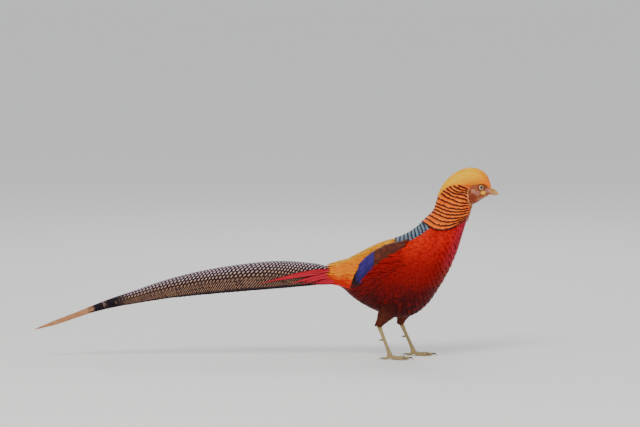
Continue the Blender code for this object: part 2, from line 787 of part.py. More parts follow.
def tail_feather(side, layer, tip, near, far):
    """One tail feather, inside the roof by its place in the stack."""
    def place(s, share):
        t = (s - TAIL_START) / (tip - TAIL_START)
        reach = np.interp(t, (0, 0.45, 0.85), (far, far, 1.0))
        taper = np.interp(t, (0, 0.06, 0.75, 0.92, 1), (0.4, 1, 1, 0.7, 0.12))
        narrow = min(1.0, tail_row(s)[4] / TAIL_NARROW)
        depth = max(layer * TAIL_LAYER * narrow, TAIL_SUNK * max(0.0, 1 - (s - TAIL_START) / 0.5))
        return s, side * ((near + reach) / 2 + share * taper * (reach - near) / 2), -VANE - depth, -depth

    steps = int(2 + 0.7 * tip)
    places = 5 if far - near > 0.6 else 4
    rows = np.linspace(TAIL_START, tip, steps + 1)
    return cover("tail_feather", tail_roof, rows, np.linspace(-1, 1, places), place)


def wing_line(side):
    """The wing's middle line on the body, with the change of place for a metre across it."""
    start = body.find(*WING_START, side)
    return body.trail(*start, WING_LENGTH, WING_STEPS, bend=side * WING_BEND, toward=WING_TOWARD)


def wing_spot(side, t, front):
    """A place by its share along the wing and how far it is in front of its middle line, and the
    wing's turn there from its first course."""
    line, sides = wing_line(side)
    steps = range(WING_STEPS + 1)
    row = t * WING_STEPS
    place = np.array([np.interp(row, steps, [spot[i] for spot in line]) for i in range(2)])
    change = np.array([np.interp(row, steps, [one[i] for one in sides]) for i in range(2)])
    return place + change * side * front, side * WING_BEND * t


def wing_half(t):
    return np.interp(t, np.linspace(0, 1, len(WING_HALF)), WING_HALF)


def build_wing(side, finish):
    """A folded wing: a shallow form on the body under scapulars, tertials and flight feathers."""
    line, sides = wing_line(side)

    def place(row, share):
        (u, v), across, t = line[row], sides[row], row / WING_STEPS
        depth = np.interp(t, np.linspace(0, 1, len(WING_DEPTH)), WING_DEPTH)
        high = WING_CLEAR + VANE + (depth - VANE) * (1 - share * share) ** 0.6
        half = wing_half(t)
        return u + across[0] * half * share, v + across[1] * half * share, WING_CLEAR, high

    wing = cover(f"wing_{SIDE_NAMES[side]}", body, range(WING_STEPS + 1), np.linspace(-1, 1, 7), place)
    feathers = []
    for first, last, front, last_front, turn, length, half, root, tip, count in WING_FEATHERS:
        for i, share in enumerate(np.linspace(0, 1, count)):
            ahead = front + (last_front - front) * share
            spot, course = wing_spot(side, first + (last - first) * share, ahead)
            under = WING_CLEAR + WING_FEATHER_STEP * (count - 1 - i)
            feathers.append(vane(body, spot, length, half, rising((under + root, under + tip)), BLADE,
                                 heading=course + side * turn, toward=WING_TOWARD))
    boolean(wing, "UNION", feathers)
    shade(wing, finish)


def build_foot(name, foot, ankle_radius, finish):
    """A foot of four clawed toes on flat pads."""
    ankle = foot + np.array((0.0, 0.0, ANKLE - GAP))
    hub = tube(name, [ankle + (0, 0, 0.002), ankle, foot + (0, 0, 0.0065), foot - (0, 0, 0.002)],
               (ankle_radius, ankle_radius, 0.0050, 0.0038), 8)
    toes = []
    for degrees, length, radius in TOES:
        turn = math.radians(degrees)
        outside = np.sign(foot[1])
        ahead = np.array((math.cos(turn), outside * math.sin(turn), 0.0))
        pad = radius - TOE_FLAT
        points = [
            foot + (0, 0, 0.0065),
            foot + ahead * length * 0.28 + (0, 0, pad + 0.0012),
            foot + ahead * length * 0.55 + (0, 0, pad),
            foot + ahead * length * 0.90 + (0, 0, pad),
            foot + ahead * length + (0, 0, pad + 0.0007),
            foot + ahead * (length + CLAW * 0.55) + (0, 0, pad + 0.0002),
            foot + ahead * (length + CLAW) + (0, 0, 0.0006),
        ]
        sizes = (radius, radius, radius, radius * 0.92, radius * 0.55, radius * 0.36, 0.0004)
        toes.append(tube("toe", points, sizes, 6))
    boolean(hub, "UNION", toes)
    trim(hub, ankle, (0, 0, 1))
    trim(hub, (0, 0, 0), (0, 0, -1))
    shade(hub, finish)


def build_leg(side, finishes):
    """A feathered thigh, a scaled shank with its spur, and a foot."""
    hip, heel, foot = (np.array(p) for p in LEGS[side])
    name = SIDE_NAMES[side]
    thigh = tube(f"thigh_{name}", [hip + (heel - hip) * t for t in THIGH_SHARES], THIGH_RADII, 14)
    envelope = loft("envelope", [body_ring(u, GAP) for u in np.linspace(2.5, 8.5, 25)])
    boolean(thigh, "DIFFERENCE", [envelope])
    trim(thigh, heel, (0, 0, -1))
    shade(thigh, finishes["thigh"])
    down = foot + (0, 0, ANKLE) - heel
    shank = tube(f"shank_{name}", [heel + down * t for t in SHANK_SHARES], SHANK_RADII, 8)
    spur = [heel + down * t + np.array((-SPUR_LENGTH * k / 2, 0, 0)) for k, (t, _) in enumerate(SPUR)]
    boolean(shank, "UNION", [tube("spur", spur, [radius for _, radius in SPUR], 6)])
    trim(shank, heel - (0, 0, GAP), (0, 0, 1))
    trim(shank, foot + (0, 0, ANKLE), (0, 0, -1))
    shade(shank, finishes["leg"])
    build_foot(f"foot_{name}", foot, SHANK_RADII[-1], finishes["leg"])


def build_materials():
    return {
        "crest": material("crest_gold", (0.86, 0.55, 0.06), 0.45),
        "face": material("face_tan", (0.52, 0.22, 0.10), 0.7),
        "eye": material("eye_cream", (0.78, 0.70, 0.45), 0.15),
        "bill": material("bill_horn", (0.62, 0.50, 0.26), 0.35),
        "cape": material("cape_orange", (0.80, 0.24, 0.03), 0.5),
        "breast": material("breast_scarlet", (0.55, 0.03, 0.02), 0.55),
        "rump": material("rump_gold", (0.80, 0.42, 0.05), 0.5),
        "coverts": material("coverts_scarlet", (0.60, 0.05, 0.03), 0.5),
        "tail": material("tail_brown", (0.22, 0.12, 0.07), 0.55),
        "wing": material("wing_blue_brown", (0.06, 0.05, 0.12), 0.45),
        "thigh": material("thigh_chestnut", (0.30, 0.11, 0.05), 0.7),
        "leg": material("leg_horn", (0.45, 0.36, 0.20), 0.5),
    }


def main():
    clear_scene()
    finishes = build_materials()
    build_crest(finishes["crest"])
    build_head(finishes["face"])
    build_eyes(finishes["eye"])
    build_bill(finishes["bill"])
    build_neck(finishes["cape"])
    build_torso(finishes["breast"])
    build_rump(finishes["rump"])
    build_coverts(finishes["coverts"])
    build_tail(finishes["tail"])
    for side in SIDE_NAMES:
        build_wing(side, finishes["wing"])
        build_leg(side, finishes)


main()
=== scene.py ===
import math

import bpy
import numpy as np
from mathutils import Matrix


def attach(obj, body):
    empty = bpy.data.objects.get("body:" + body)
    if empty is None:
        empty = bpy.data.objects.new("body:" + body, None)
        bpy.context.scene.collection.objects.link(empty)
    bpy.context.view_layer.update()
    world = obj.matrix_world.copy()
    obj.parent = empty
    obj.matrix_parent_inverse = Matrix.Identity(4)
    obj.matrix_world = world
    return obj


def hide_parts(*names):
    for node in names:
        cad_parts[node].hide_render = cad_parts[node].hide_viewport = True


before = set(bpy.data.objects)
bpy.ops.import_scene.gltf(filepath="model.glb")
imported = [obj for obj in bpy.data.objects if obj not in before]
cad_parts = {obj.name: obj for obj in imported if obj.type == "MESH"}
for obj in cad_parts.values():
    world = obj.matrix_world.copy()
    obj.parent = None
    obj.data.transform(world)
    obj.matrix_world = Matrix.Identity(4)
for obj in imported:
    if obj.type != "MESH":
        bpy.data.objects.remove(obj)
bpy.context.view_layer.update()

fullTurn = 2 * math.pi
rightSide, leftSide = -1, 1
sideNames = {rightSide: "right", leftSide: "left"}
print("frame loaded")


# Surfaces that the skin and the feathers follow, from the solids' own sizes

bodyShape = {
    # back x, z, belly x, z, half width, from the tail root to the bill
    "rows": np.array([
        (.1075, .1932, .1096, .1694, .0120), (.1376, .1990, .1419, .1608, .0220),
        (.1656, .2085, .1634, .1522, .0310), (.1935, .2215, .1806, .1370, .0400),
        (.2279, .2395, .2064, .1176, .0480), (.2623, .2535, .2451, .0982, .0540),
        (.2924, .2640, .2924, .0863, .0580), (.3182, .2780, .3397, .1079, .0610),
        (.3386, .2955, .3762, .1565, .0590), (.3562, .3123, .4063, .2158, .0480),
        (.3719, .3318, .4252, .2758, .0370), (.3892, .3562, .4364, .3107, .0285),
        (.4076, .3728, .4427, .3296, .0235), (.4257, .3842, .4515, .3356, .0205),
        (.4472, .3900, .4622, .3421, .0180), (.4680, .3835, .4730, .3485, .0135),
        (.4838, .3680, .4805, .3518, .0070),
    ]),
    "droop": .10,           # how much fuller the sides are below than above
}
tailShape = {
    # ridge x, z, lower edge x, z, half width, from the root to the tip
    "rows": np.array([
        (.1376, .2010, .1419, .1625, .0215), (.0731, .2075, .0740, .1560, .0270),
        (.0129, .2090, .0120, .1510, .0290), (-.0709, .2000, -.0710, .1440, .0270),
        (-.1441, .1870, -.1440, .1370, .0235), (-.2172, .1683, -.2170, .1280, .0190),
        (-.2838, .1455, -.2840, .1170, .0150), (-.3462, .1241, -.3460, .1050, .0110),
        (-.3999, .1024, -.4030, .0882, .0080), (-.4480, .0838, -.4500, .0712, .0058),
        (-.4990, .0628, -.5005, .0568, .0030),
    ]),
    "station": .0665,       # metres from station to station
}
crestShape = {
    "first": 10,            # body station of the first value
    "height": (.0095, .0165, .0215, .0222, .0205, .0130, .0020),
    "reach": (26, 44, 54, 60, 61, 60, 50),      # degrees round from the top
    "edge": (8, 26, 47, 60, 66, 60, 54),        # degrees to where the gold ends and the cape begins
    "round": .55,
    "seen": .93,            # share of the gold's width that cape and face feathers keep off
}
scutes, toeScutes = .0044, .0027        # metres from one scute to the next on shanks and toes


def smoothRows(rows):
    # a natural cubic curve through evenly numbered rows
    count = len(rows)
    links = 4 * np.eye(count) + np.eye(count, k=1) + np.eye(count, k=-1)
    links[0] = links[-1] = 0
    links[0, 0] = links[-1, -1] = 1
    bends = np.zeros_like(rows)
    bends[1:-1] = 6 * (rows[2:] - 2 * rows[1:-1] + rows[:-2])
    bends = np.linalg.solve(links, bends)

    def at(number):
        number = np.asarray(number, float)
        low = np.clip(np.floor(number), 0, count - 2).astype(int)
        f = (number - low)[..., None]
        g = 1 - f
        return (g * rows[low] + f * rows[low + 1]
                + (g ** 3 - g) * bends[low] / 6 + (f ** 3 - f) * bends[low + 1] / 6)

    return at


bodyRow = smoothRows(bodyShape["rows"])
tailRow = smoothRows(tailShape["rows"])
crestRow = smoothRows(np.column_stack([crestShape[key] for key in ("height", "reach", "edge")]).astype(float))


def fade(value, low, high):
    t = np.clip((value - low) / (high - low), 0, 1)
    return t * t * (3 - 2 * t)


def bodyPoint(u, v):
    # station u, v radians round from the back towards the left
    row = bodyRow(u)
    rise = np.cos(v)
    return np.stack((
        (row[..., 0] + row[..., 2]) / 2 + rise * (row[..., 0] - row[..., 2]) / 2,
        row[..., 4] * np.sin(v) * (1 - bodyShape["droop"] * rise),
        (row[..., 1] + row[..., 3]) / 2 + rise * (row[..., 1] - row[..., 3]) / 2,
    ), -1)


def tailPoint(s, f):
    # station s, f from 0 on the ridge to 1 on the left lower edge and -1 on the right one
    row = tailRow(s)
    angle = f * math.pi / 2
    share = np.cos(angle)
    return np.stack((
        row[..., 2] + share * (row[..., 0] - row[..., 2]),
        row[..., 4] * np.sin(angle),
        row[..., 3] + share * (row[..., 1] - row[..., 3]),
    ), -1)


def crestHeight(u, v):
    row = crestRow(np.asarray(u) - crestShape["first"])
    across = np.minimum(np.abs(np.degrees(v)) / row[..., 1], 1)
    return row[..., 0] * np.maximum(np.cos(across * math.pi / 2), 0) ** crestShape["round"]


def dots(a, b):
    return (a * b).sum(-1, keepdims=True)


def unit(a):
    return a / np.maximum(np.sqrt(dots(a, a)), 1e-12)


class Lie:
    # A surface numbered along the bird and round it, which feathers lie on
    def __init__(self, point, backward):
        self.point = point
        self.backward = backward

    def slopes(self, a, b):
        small = 1e-3
        along = (self.point(a + small, b) - self.point(a - small, b)) / (2 * small)
        around = (self.point(a, b + small) - self.point(a, b - small)) / (2 * small)
        return along, around, unit(np.cross(around, along) * self.backward)

    def at(self, a, b, height=0.0):
        height = np.broadcast_to(np.asarray(height, float), np.shape(a))
        return self.point(a, b) + height[..., None] * self.slopes(a, b)[2]

    def change(self, along, around, course):
        # the change of both numbers for a step of one metre along a course
        aa, ab, bb = dots(along, along), dots(along, around), dots(around, around)
        ca, cb = dots(along, course), dots(around, course)
        whole = aa * bb - ab * ab
        return ((ca * bb - cb * ab) / whole)[..., 0], ((cb * aa - ca * ab) / whole)[..., 0]

    def trail(self, a, b, length, steps, heading=0.0, bend=0.0, toward=None):
        # midlines of feathers laid from (a, b), with the change of both numbers to the left of them
        lines, sides = [], []
        for i in range(steps + 1):
            along, around, normal = self.slopes(a, b)
            ahead = along * self.backward if toward is None else np.zeros_like(along) + toward
            ahead = unit(ahead - normal * dots(ahead, normal))
            left = around - normal * dots(around, normal)
            left = unit(left - ahead * dots(left, ahead))
            angle = (np.zeros(len(a)) + heading + bend * i / steps)[:, None]
            course = ahead * np.cos(angle) + left * np.sin(angle)
            across = left * np.cos(angle) - ahead * np.sin(angle)
            lines.append((a, b))
            sides.append(self.change(along, around, across))
            da, db = self.change(along, around, course)
            a, b = a + da * length / steps, b + db * length / steps
        return np.array(lines).transpose(1, 2, 0), np.array(sides).transpose(1, 2, 0)

    def find(self, x, z, side):
        # the numbers of the point that shows at x, z from that side
        aa, bb = np.meshgrid(np.arange(.5, 16, .25), np.arange(.2, 3.1, .1) * side)
        off = self.point(aa, bb)[..., [0, 2]] - (x, z)
        best = np.argmin((off ** 2).sum(-1))
        a, b = aa.flat[best], bb.flat[best]
        for _ in range(8):
            along, around, _ = self.slopes(a, b)
            miss = np.array((x, z)) - self.point(a, b)[[0, 2]]
            step = np.linalg.solve(np.column_stack((along, around))[[0, 2]], miss)
            a, b = a + step[0], b + step[1]
        return a, b


body = Lie(bodyPoint, -1)
tailRoof = Lie(tailPoint, 1)


def crestEdge(u):
    return np.radians(crestRow(np.asarray(u) - crestShape["first"])[..., 2])


def crestPoint(u, w):
    # w runs from -1 on the right edge of the gold to 1 on the left one
    v = w * crestEdge(u)
    return body.at(u, v, crestHeight(u, v))


def capePoint(u, v):
    # the body, swelling where the cape rises up the sides of the crest
    row = crestRow(np.maximum(np.asarray(u) - crestShape["first"], 0))
    swell = np.maximum(row[..., 0] - .0020, 0) * fade(row[..., 1] * 1.25 - np.abs(np.degrees(v)), 0, row[..., 1] * .75)
    return body.at(u, v, swell * fade(u, 9.2, 10.3) * fade(u, 13.9, 12.9))


crestTop = Lie(crestPoint, -1)
capeTop = Lie(capePoint, -1)


# Meshes from arrays


def shapeMesh(name, points, triangles, attributes, bakeMap, finish):
    mesh = bpy.data.meshes.new(name)
    mesh.vertices.add(len(points))
    mesh.vertices.foreach_set("co", np.ascontiguousarray(points, np.float32).ravel())
    mesh.loops.add(triangles.size)
    mesh.loops.foreach_set("vertex_index", triangles.astype(np.int32).ravel())
    mesh.polygons.add(len(triangles))
    mesh.polygons.foreach_set("loop_start", np.arange(0, triangles.size, 3, dtype=np.int32))
    mesh.update(calc_edges=True)
    mesh.shade_smooth()
    mesh.set_sharp_from_angle(angle=math.radians(50))
    for key, values in attributes.items():
        layer = mesh.attributes.new(key, "FLOAT_VECTOR", "POINT")
        layer.data.foreach_set("vector", np.ascontiguousarray(values, np.float32).ravel())
    layer = mesh.uv_layers.new(name="OFBake")
    layer.data.foreach_set("uv", np.ascontiguousarray(bakeMap[triangles.ravel()], np.float32).ravel())
    mesh.materials.append(finish)
    piece = bpy.data.objects.new(name, mesh)
    bpy.context.scene.collection.objects.link(piece)
    print(name, len(triangles), "triangles")
    return piece


def gridTriangles(rows, columns, closed=False):
    # two triangles for each cell of a grid, which joins up round its columns if closed
    r, c = np.meshgrid(np.arange(rows - 1), np.arange(columns if closed else columns - 1), indexing="ij")
    a, b = r * columns + c, r * columns + (c + 1) % columns
    d, e = a + columns, b + columns
    return np.stack((a, b, e, a, e, d), -1).reshape(-1, 3)


def tubeTriangles(rows, sides):
    # rings joined up, and closed by one more point at each end
    ring = np.arange(sides)
    after, last, size = (ring + 1) % sides, sides * (rows - 1), np.full_like(ring, sides * rows)
    return np.concatenate((gridTriangles(rows, sides, True), np.stack((after, ring, size), -1),
                           np.stack((last + ring, last + after, size + 1), -1)))


def capped(values, ends=None):
    # what a tube's points carry, and then its two end points, like its first and last if not given
    values = values.reshape(-1, values.shape[-1])
    return np.concatenate((values, values[[0, -1]] if ends is None else ends))


def cappedPoints(rings):
    return capped(rings, (rings[0].mean(0), rings[-1].mean(0)))


def joinParts(parts):
    # one list each of the points, the triangles and what the points carry
    starts = np.cumsum([0] + [len(part[0]) for part in parts])
    parts = [(part[0], part[1] + start, *part[2:]) for part, start in zip(parts, starts)]
    return [np.concatenate(column) for column in zip(*parts)]


def runAlong(line):
    # metres from a line's start to each of its points
    return np.concatenate(([0], np.cumsum(np.linalg.norm(np.diff(line, axis=0), axis=1))))


def featherTriangles(rows, columns):
    # one thin closed feather: a top grid, and below it one that shares the two edge columns
    top = np.arange(rows * columns).reshape(rows, columns)
    low = top.copy()
    low[:, 1:-1] = rows * columns + np.arange(rows * (columns - 2)).reshape(rows, columns - 2)
    faces = []
    for r in range(rows - 1):
        for c in range(columns - 1):
            faces += [(top[r, c], top[r, c + 1], top[r + 1, c + 1]), (top[r, c], top[r + 1, c + 1], top[r + 1, c])]
            faces += [(low[r, c], low[r + 1, c + 1], low[r, c + 1]), (low[r, c], low[r + 1, c], low[r + 1, c + 1])]
    for r, turn in ((0, 1), (rows - 1, -1)):
        for c in range(columns - 1):
            corners = [top[r, c], low[r, c], low[r, c + 1], top[r, c + 1]]
            corners = [p for i, p in enumerate(corners) if p not in corners[:i]][::turn]
            faces += [(corners[0], corners[i], corners[i + 1]) for i in range(1, len(corners) - 1)]
    return np.array(faces)


def bodyUnwrap(u, v):
    return np.stack((.02 + .96 * u / 17, .5 + .48 * v / math.pi), -1)


def tailUnwrap(s, f):
    return np.stack((.02 + .09 * (s + .5), .5 + .45 * f), -1)


class Coat:
    # Gathers the feathers of one piece
    patch = .003            # size of a feather's place on the OFBake map

    def __init__(self):
        self.points, self.triangles, self.lie, self.place, self.maps = [], [], [], [], []
        self.count = 0

    def add(self, lie, a, b, length, half, lift, outline, columns=3, heading=0.0, toward=None,
            camber=.0002, thick=.00022, tone=None, unwrap=bodyUnwrap, group=0.0, course=None, chart=None):
        if not len(a):
            return
        n, rows = len(a), len(outline)
        length, half = np.zeros(n) + length, np.zeros(n) + half
        t, w = np.linspace(0, 1, rows), np.linspace(-1, 1, columns)
        line, side = course or lie.trail(a, b, length, rows - 1, heading, toward=toward)
        reach = half[:, None, None] * np.asarray(outline)[None, :, None] * w
        aa, bb = line[0][:, :, None] + side[0][:, :, None] * reach, line[1][:, :, None] + side[1][:, :, None] * reach
        if callable(lift):
            height = lift(t[None, :, None], aa, bb)
        else:
            height = np.interp(t, np.linspace(0, 1, len(lift)), lift)[None, :, None]
        tone = rng.random(n) if tone is None else tone
        height = np.zeros_like(aa) + height + camber * (1 - w * w)
        top = lie.at(aa, bb, height)
        low = lie.at(aa[:, :, 1:-1], bb[:, :, 1:-1], height[:, :, 1:-1] - thick)
        points = np.concatenate((top.reshape(n, -1, 3), low.reshape(n, -1, 3)), 1)
        shares = np.stack(np.broadcast_arrays(t[None, :, None], w, tone[:, None, None]), -1)
        spots = np.stack(np.broadcast_arrays(*(chart(aa, bb) if chart else (aa, bb, group))), -1)
        size = points.shape[1]

        def both(values):
            k = values.shape[-1]
            return np.concatenate((values.reshape(n, -1, k), values[:, :, 1:-1].reshape(n, -1, k)), 1)

        if chart:           # a vane as long as the tail is laid out whole
            flat = unwrap(aa, bb)
        else:
            flat = unwrap(a, b)[:, None, None, :] + np.stack(
                np.broadcast_arrays((t[None, :, None] - .5) * self.patch, w * self.patch / 2), -1)
            flat = flat + np.zeros((n, rows, columns, 2))
        template = featherTriangles(rows, columns)
        self.triangles.append((template[None] + self.count + size * np.arange(n)[:, None, None]).reshape(-1, 3))
        self.points.append(points.reshape(-1, 3))
        self.lie.append(both(shares).reshape(-1, 3))
        self.place.append(both(spots).reshape(-1, 3))
        self.maps.append(both(flat).reshape(-1, 2))
        self.count += n * size

    def build(self, name, finish, slot, *nodes):
        piece = shapeMesh(
            name, np.concatenate(self.points), np.concatenate(self.triangles),
            {"lie": np.concatenate(self.lie), "place": np.concatenate(self.place)},
            np.concatenate(self.maps), finish)
        settle(piece, slot, *nodes)
        return piece


def settle(piece, slot, *nodes):
    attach(piece, "root")
    if nodes:
        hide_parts(*nodes)


# Finishes


class Value:
    # Wraps a number socket, so that an expression on it adds its Math nodes
    def __init__(self, finish, socket):
        self.finish, self.socket = finish, socket

    def math(self, operation, *others):
        return self.finish.node("Math", {"operation": operation}, dict(enumerate(others)))

    def __add__(self, other):
        return self.math("ADD", self, other)

    def __sub__(self, other):
        return self.math("SUBTRACT", self, other)

    def __rsub__(self, other):
        return self.math("SUBTRACT", other, self)

    def __mul__(self, other):
        return self.math("MULTIPLY", self, other)

    def __truediv__(self, other):
        return self.math("DIVIDE", self, other)

    def __pow__(self, other):
        return self.math("POWER", self, other)

    def __abs__(self):
        return self.math("ABSOLUTE", self)

    def __mod__(self, other):
        return self.math("FLOORED_MODULO", self, other)

    __radd__, __rmul__ = __add__, __mul__

    def most(self, other):
        return self.math("MAXIMUM", self, other)

    def sine(self):
        return self.math("SINE", self)

    def step(self, low, high):
        # 0 below low, 1 above high, smooth between them
        return self.finish.node("MapRange", {"interpolation_type": "SMOOTHSTEP"},
                                {"Value": self, "From Min": low, "From Max": high})


class Finish:
    # One material and the nodes that make it
    def __init__(self, name, **fixed):
        self.material = bpy.data.materials.new(name)
        self.material.use_nodes = True
        self.nodes = self.material.node_tree.nodes
        self.links = self.material.node_tree.links
        self.shader = self.nodes["Principled BSDF"]
        self.shader.inputs["Specular IOR Level"].default_value = .12    # feathers are dull
        for key, value in fixed.items():
            self.shader.inputs[key.replace("_", " ")].default_value = value

    def node(self, kind, settings=None, sockets=None, out=0):
        made = self.nodes.new("ShaderNode" + kind)
        for key, value in (settings or {}).items():
            setattr(made, key, value)
        for key, value in (sockets or {}).items():
            self.feed(made.inputs[key], value)
        return Value(self, made.outputs[out])

    def feed(self, socket, value):
        if isinstance(value, Value):
            self.links.new(value.socket, socket)
        else:
            if socket.type == "RGBA" and len(value) == 3:
                value = (*value, 1)
            socket.default_value = value

    def attribute(self, name):
        # the three numbers of a vector that the mesh carries
        whole = self.node("Attribute", {"attribute_name": name}, out=1)
        return [self.node("SeparateXYZ", None, {0: whole}, out=i) for i in range(3)]

    def where(self):
        return self.node("TexCoord", out=3)

    def spot(self):
        whole = self.where()
        return [self.node("SeparateXYZ", None, {0: whole}, out=i) for i in range(3)]

    def noise(self, scale, detail, stretch=(1, 1, 1), vector=None):
        vector = self.node("VectorMath", {"operation": "MULTIPLY"}, {0: vector or self.where(), 1: stretch})
        return self.node("TexNoise", None, {"Vector": vector, "Scale": scale, "Detail": detail})

    def join(self, x, y, z):
        return self.node("CombineXYZ", None, {0: x, 1: y, 2: z})

    def mix(self, factor, a, b):
        return self.node("Mix", {"data_type": "RGBA"}, {0: factor, 6: a, 7: b}, out=2)

    def bump(self, height, strength, distance):
        return self.node("Bump", None, {"Height": height, "Strength": strength, "Distance": distance})

    def done(self, colour, roughness, bump=None):
        for key, value in (("Base Color", colour), ("Roughness", roughness), ("Normal", bump)):
            if value is not None:
                self.feed(self.shader.inputs[key], value)
        return self.material


def barbed(f, colour, t, w, fine, share, dark, rough, gloss=0, slant=.55, strength=.3, depth=.0004):
    # ends a feather's finish with the fine slanting lines on both sides of its shaft
    lines = ((t - abs(w) * slant) * (fine * fullTurn)).sine() * .5 + .5
    colour = f.mix(lines * share, colour, dark)
    return f.done(colour, lines * gloss + rough if gloss else rough, f.bump(lines, strength, depth))


rng = np.random.default_rng(7)

palette = {                 # linear colours
    "lemon": (1.0, .61, .0), "gold": (1.0, .35, .0), "amber": (.95, .17, .0),
    "orange": (.92, .12, .0), "orangeHighlight": (1.0, .28, .04), "orangeDeep": (.42, .03, .0),
    "barBlack": (.005, .003, .007),
    "steel": (.075, .125, .20), "steelPale": (.24, .32, .39), "steelBlack": (.003, .004, .010),
    "scarlet": (.70, .005, .0), "scarletLight": (.90, .030, .0), "crimson": (.30, .001, .001),
    "wine": (.045, .0004, .0006), "roseSheen": (.50, .012, .06),
    "maroon": (.26, .050, .012), "violet": (.045, .024, .22), "umber": (.030, .014, .009),
    "netDark": (.008, .003, .008), "netPale": (.76, .60, .70), "netTan": (.46, .25, .15),
    "cinnamon": (.62, .31, .15), "cinnamonDark": (.28, .10, .04),
    "spear": (.50, .004, .028), "spearHighlight": (.80, .07, .11),
    "faceTan": (.64, .23, .085), "faceRed": (.26, .038, .016), "earPink": (.88, .44, .32),
    "lore": (.72, .34, .24), "eyeRing": (.15, .030, .012), "cheekRim": (.84, .36, .15),
    "wattleYellow": (.95, .50, .02), "throat": (.20, .05, .022),
    "horn": (.88, .40, .08), "hornStreakAndShade": (.40, .16, .04),
    "chestnut": (.15, .026, .010), "chestnutDark": (.05, .009, .005),
    "legHorn": (.46, .35, .16), "legShade": (.20, .13, .06),
    "clawPale": (.16, .11, .06), "clawDark": (.04, .025, .015),
    "maroonDeep": (.075, .014, .010), "irisCream": (.94, .82, .50), "irisTan": (.55, .34, .12),
    "pupil": (.003, .002, .002), "hornTip": (.80, .46, .17),
}


def redTone(f, u, v):
    # the scarlet of neck, breast and belly, by place on the body, with painted shade low down and a painted sheen on
    # the breast's front
    _, _, z = f.spot()
    patchy = f.noise(26, 3)
    high = z + patchy * .04 - .02
    # painted shade: low is the bottom of the body, painted near-black wine; the crimson above it is the feathers' own
    # colour
    low = high.step(.205, .115)
    red = f.mix(high.step(.27, .185), palette["scarlet"], palette["crimson"])
    red = f.mix(low, red, palette["wine"])
    shoulder = abs(v).step(1.35, .55) * u.step(5.6, 7.2) * u.step(10.2, 9.0)
    red = f.mix(shoulder * .85, red, palette["scarletLight"])
    # painted sheen: a patchy rose highlight on the front of the breast
    front = abs(v).step(1.75, 2.5) * high.step(.185, .235)
    red = f.mix(front * (patchy * .8 + .15), red, palette["roseSheen"])
    return red, low


def redFinish():
    f = Finish("scarletFeathers")
    t, w, tone = f.attribute("lie")
    u, v, _ = f.attribute("place")
    red, low = redTone(f, u, v)
    red = f.mix(tone.step(.45, 1) * .45, red, palette["crimson"])
    red = f.mix((1 - t).step(.25, 1) * .55, red, palette["wine"])
    # painted highlight: some feather tips are lighter scarlet, less so in the painted shade low down
    red = f.mix(t.step(.72, .98) * tone.step(.6, .1) * .10 * (1 - low), red, palette["scarletLight"])
    return barbed(f, red, t, w, 22, .30, palette["wine"], .42, .15, strength=.4, depth=.0005)


def capeFinish():
    f = Finish("capeFeathers")
    t, w, tone = f.attribute("lie")
    u, v, length = f.attribute("place")
    wobble = f.noise(130, 3)
    # metres short of the feather's tip
    left = (1 - t) * length + (wobble - .5) * .0032 + (tone - .5) * .0008
    orange = f.mix(tone, palette["orange"], palette["amber"])
    # painted highlight: a pale band just behind each bar
    pale = left.step(.0036, .0046) * left.step(.0072, .0052)
    orange = f.mix(pale * (tone * .7 + .15), orange, palette["orangeHighlight"])
    orange = f.mix(u.step(11.9, 13.0) * .25, orange, palette["orangeDeep"])
    # the bars are narrower at the throat, where the tiers run together
    bar = (left + abs(v).step(1.5, 2.5) * .0011).step(.0034, .0027) * left.step(-.0008, -.0002)
    colour = f.mix(bar, orange, palette["barBlack"])
    return barbed(f, colour, t, w, 30, .18, palette["orangeDeep"], bar * -.15 + .52)


def mantleFinish():
    f = Finish("mantleFeathers")
    t, w, tone = f.attribute("lie")
    _, _, length = f.attribute("place")
    wobble = f.noise(300, 2)
    left = (1 - t) * length + (wobble - .5) * .0012 + w * w * .0007
    steel = f.mix(tone * .6 + left.step(.0085, .0035) * .4, palette["steel"], palette["steelPale"])
    bar = left.step(.0034, .0027)
    colour = f.mix(bar, steel, palette["steelBlack"])
    return barbed(f, colour, t, w, 26, .2, palette["steelBlack"], bar * .1 + .40)


def crestFinish():
    f = Finish("crestSilk")
    t, w, tone = f.attribute("lie")
    u, v, _ = f.attribute("place")
    strands = f.noise(9, 4, vector=f.join(u * .22, v * 5, 0))
    gold = f.mix(tone * .5, palette["lemon"], palette["gold"])
    front = (u + (strands - .5) * 1.2).step(13.6, 15.5)
    gold = f.mix(front, gold, palette["amber"])
    side = (abs(v) + (strands - .5) * .3).step(.50, 1.05)
    gold = f.mix(side * .7, gold, palette["amber"])
    gold = f.mix(strands.step(.45, .7) * .45, gold, palette["gold"])
    gold = f.mix((1 - t).step(.6, 1) * .3, gold, palette["amber"])
    return f.done(gold, strands * .2 + .34, f.bump(strands, .5, .0008))


def rumpFinish():
    f = Finish("rumpSilk")
    t, w, tone = f.attribute("lie")
    u, v, _ = f.attribute("place")
    patchy = f.noise(40, 2)
    gold = f.mix(tone * .8, palette["gold"], palette["amber"])
    gold = f.mix(abs(v).step(.9, .2) * .7, gold, palette["lemon"])
    low = (abs(v) + (tone - .5) * .5 + (patchy - .5) * .4).step(1.25, 2.0)
    gold = f.mix(low, gold, palette["scarlet"])
    gold = f.mix((1 - t).step(.3, 1) * .8, gold, palette["orangeDeep"])
    gold = f.mix(abs(w).step(.6, 1) * .5, gold, palette["orangeDeep"])
    return barbed(f, gold, t, w, 20, .25, palette["orangeDeep"], .40, .1, slant=.9)


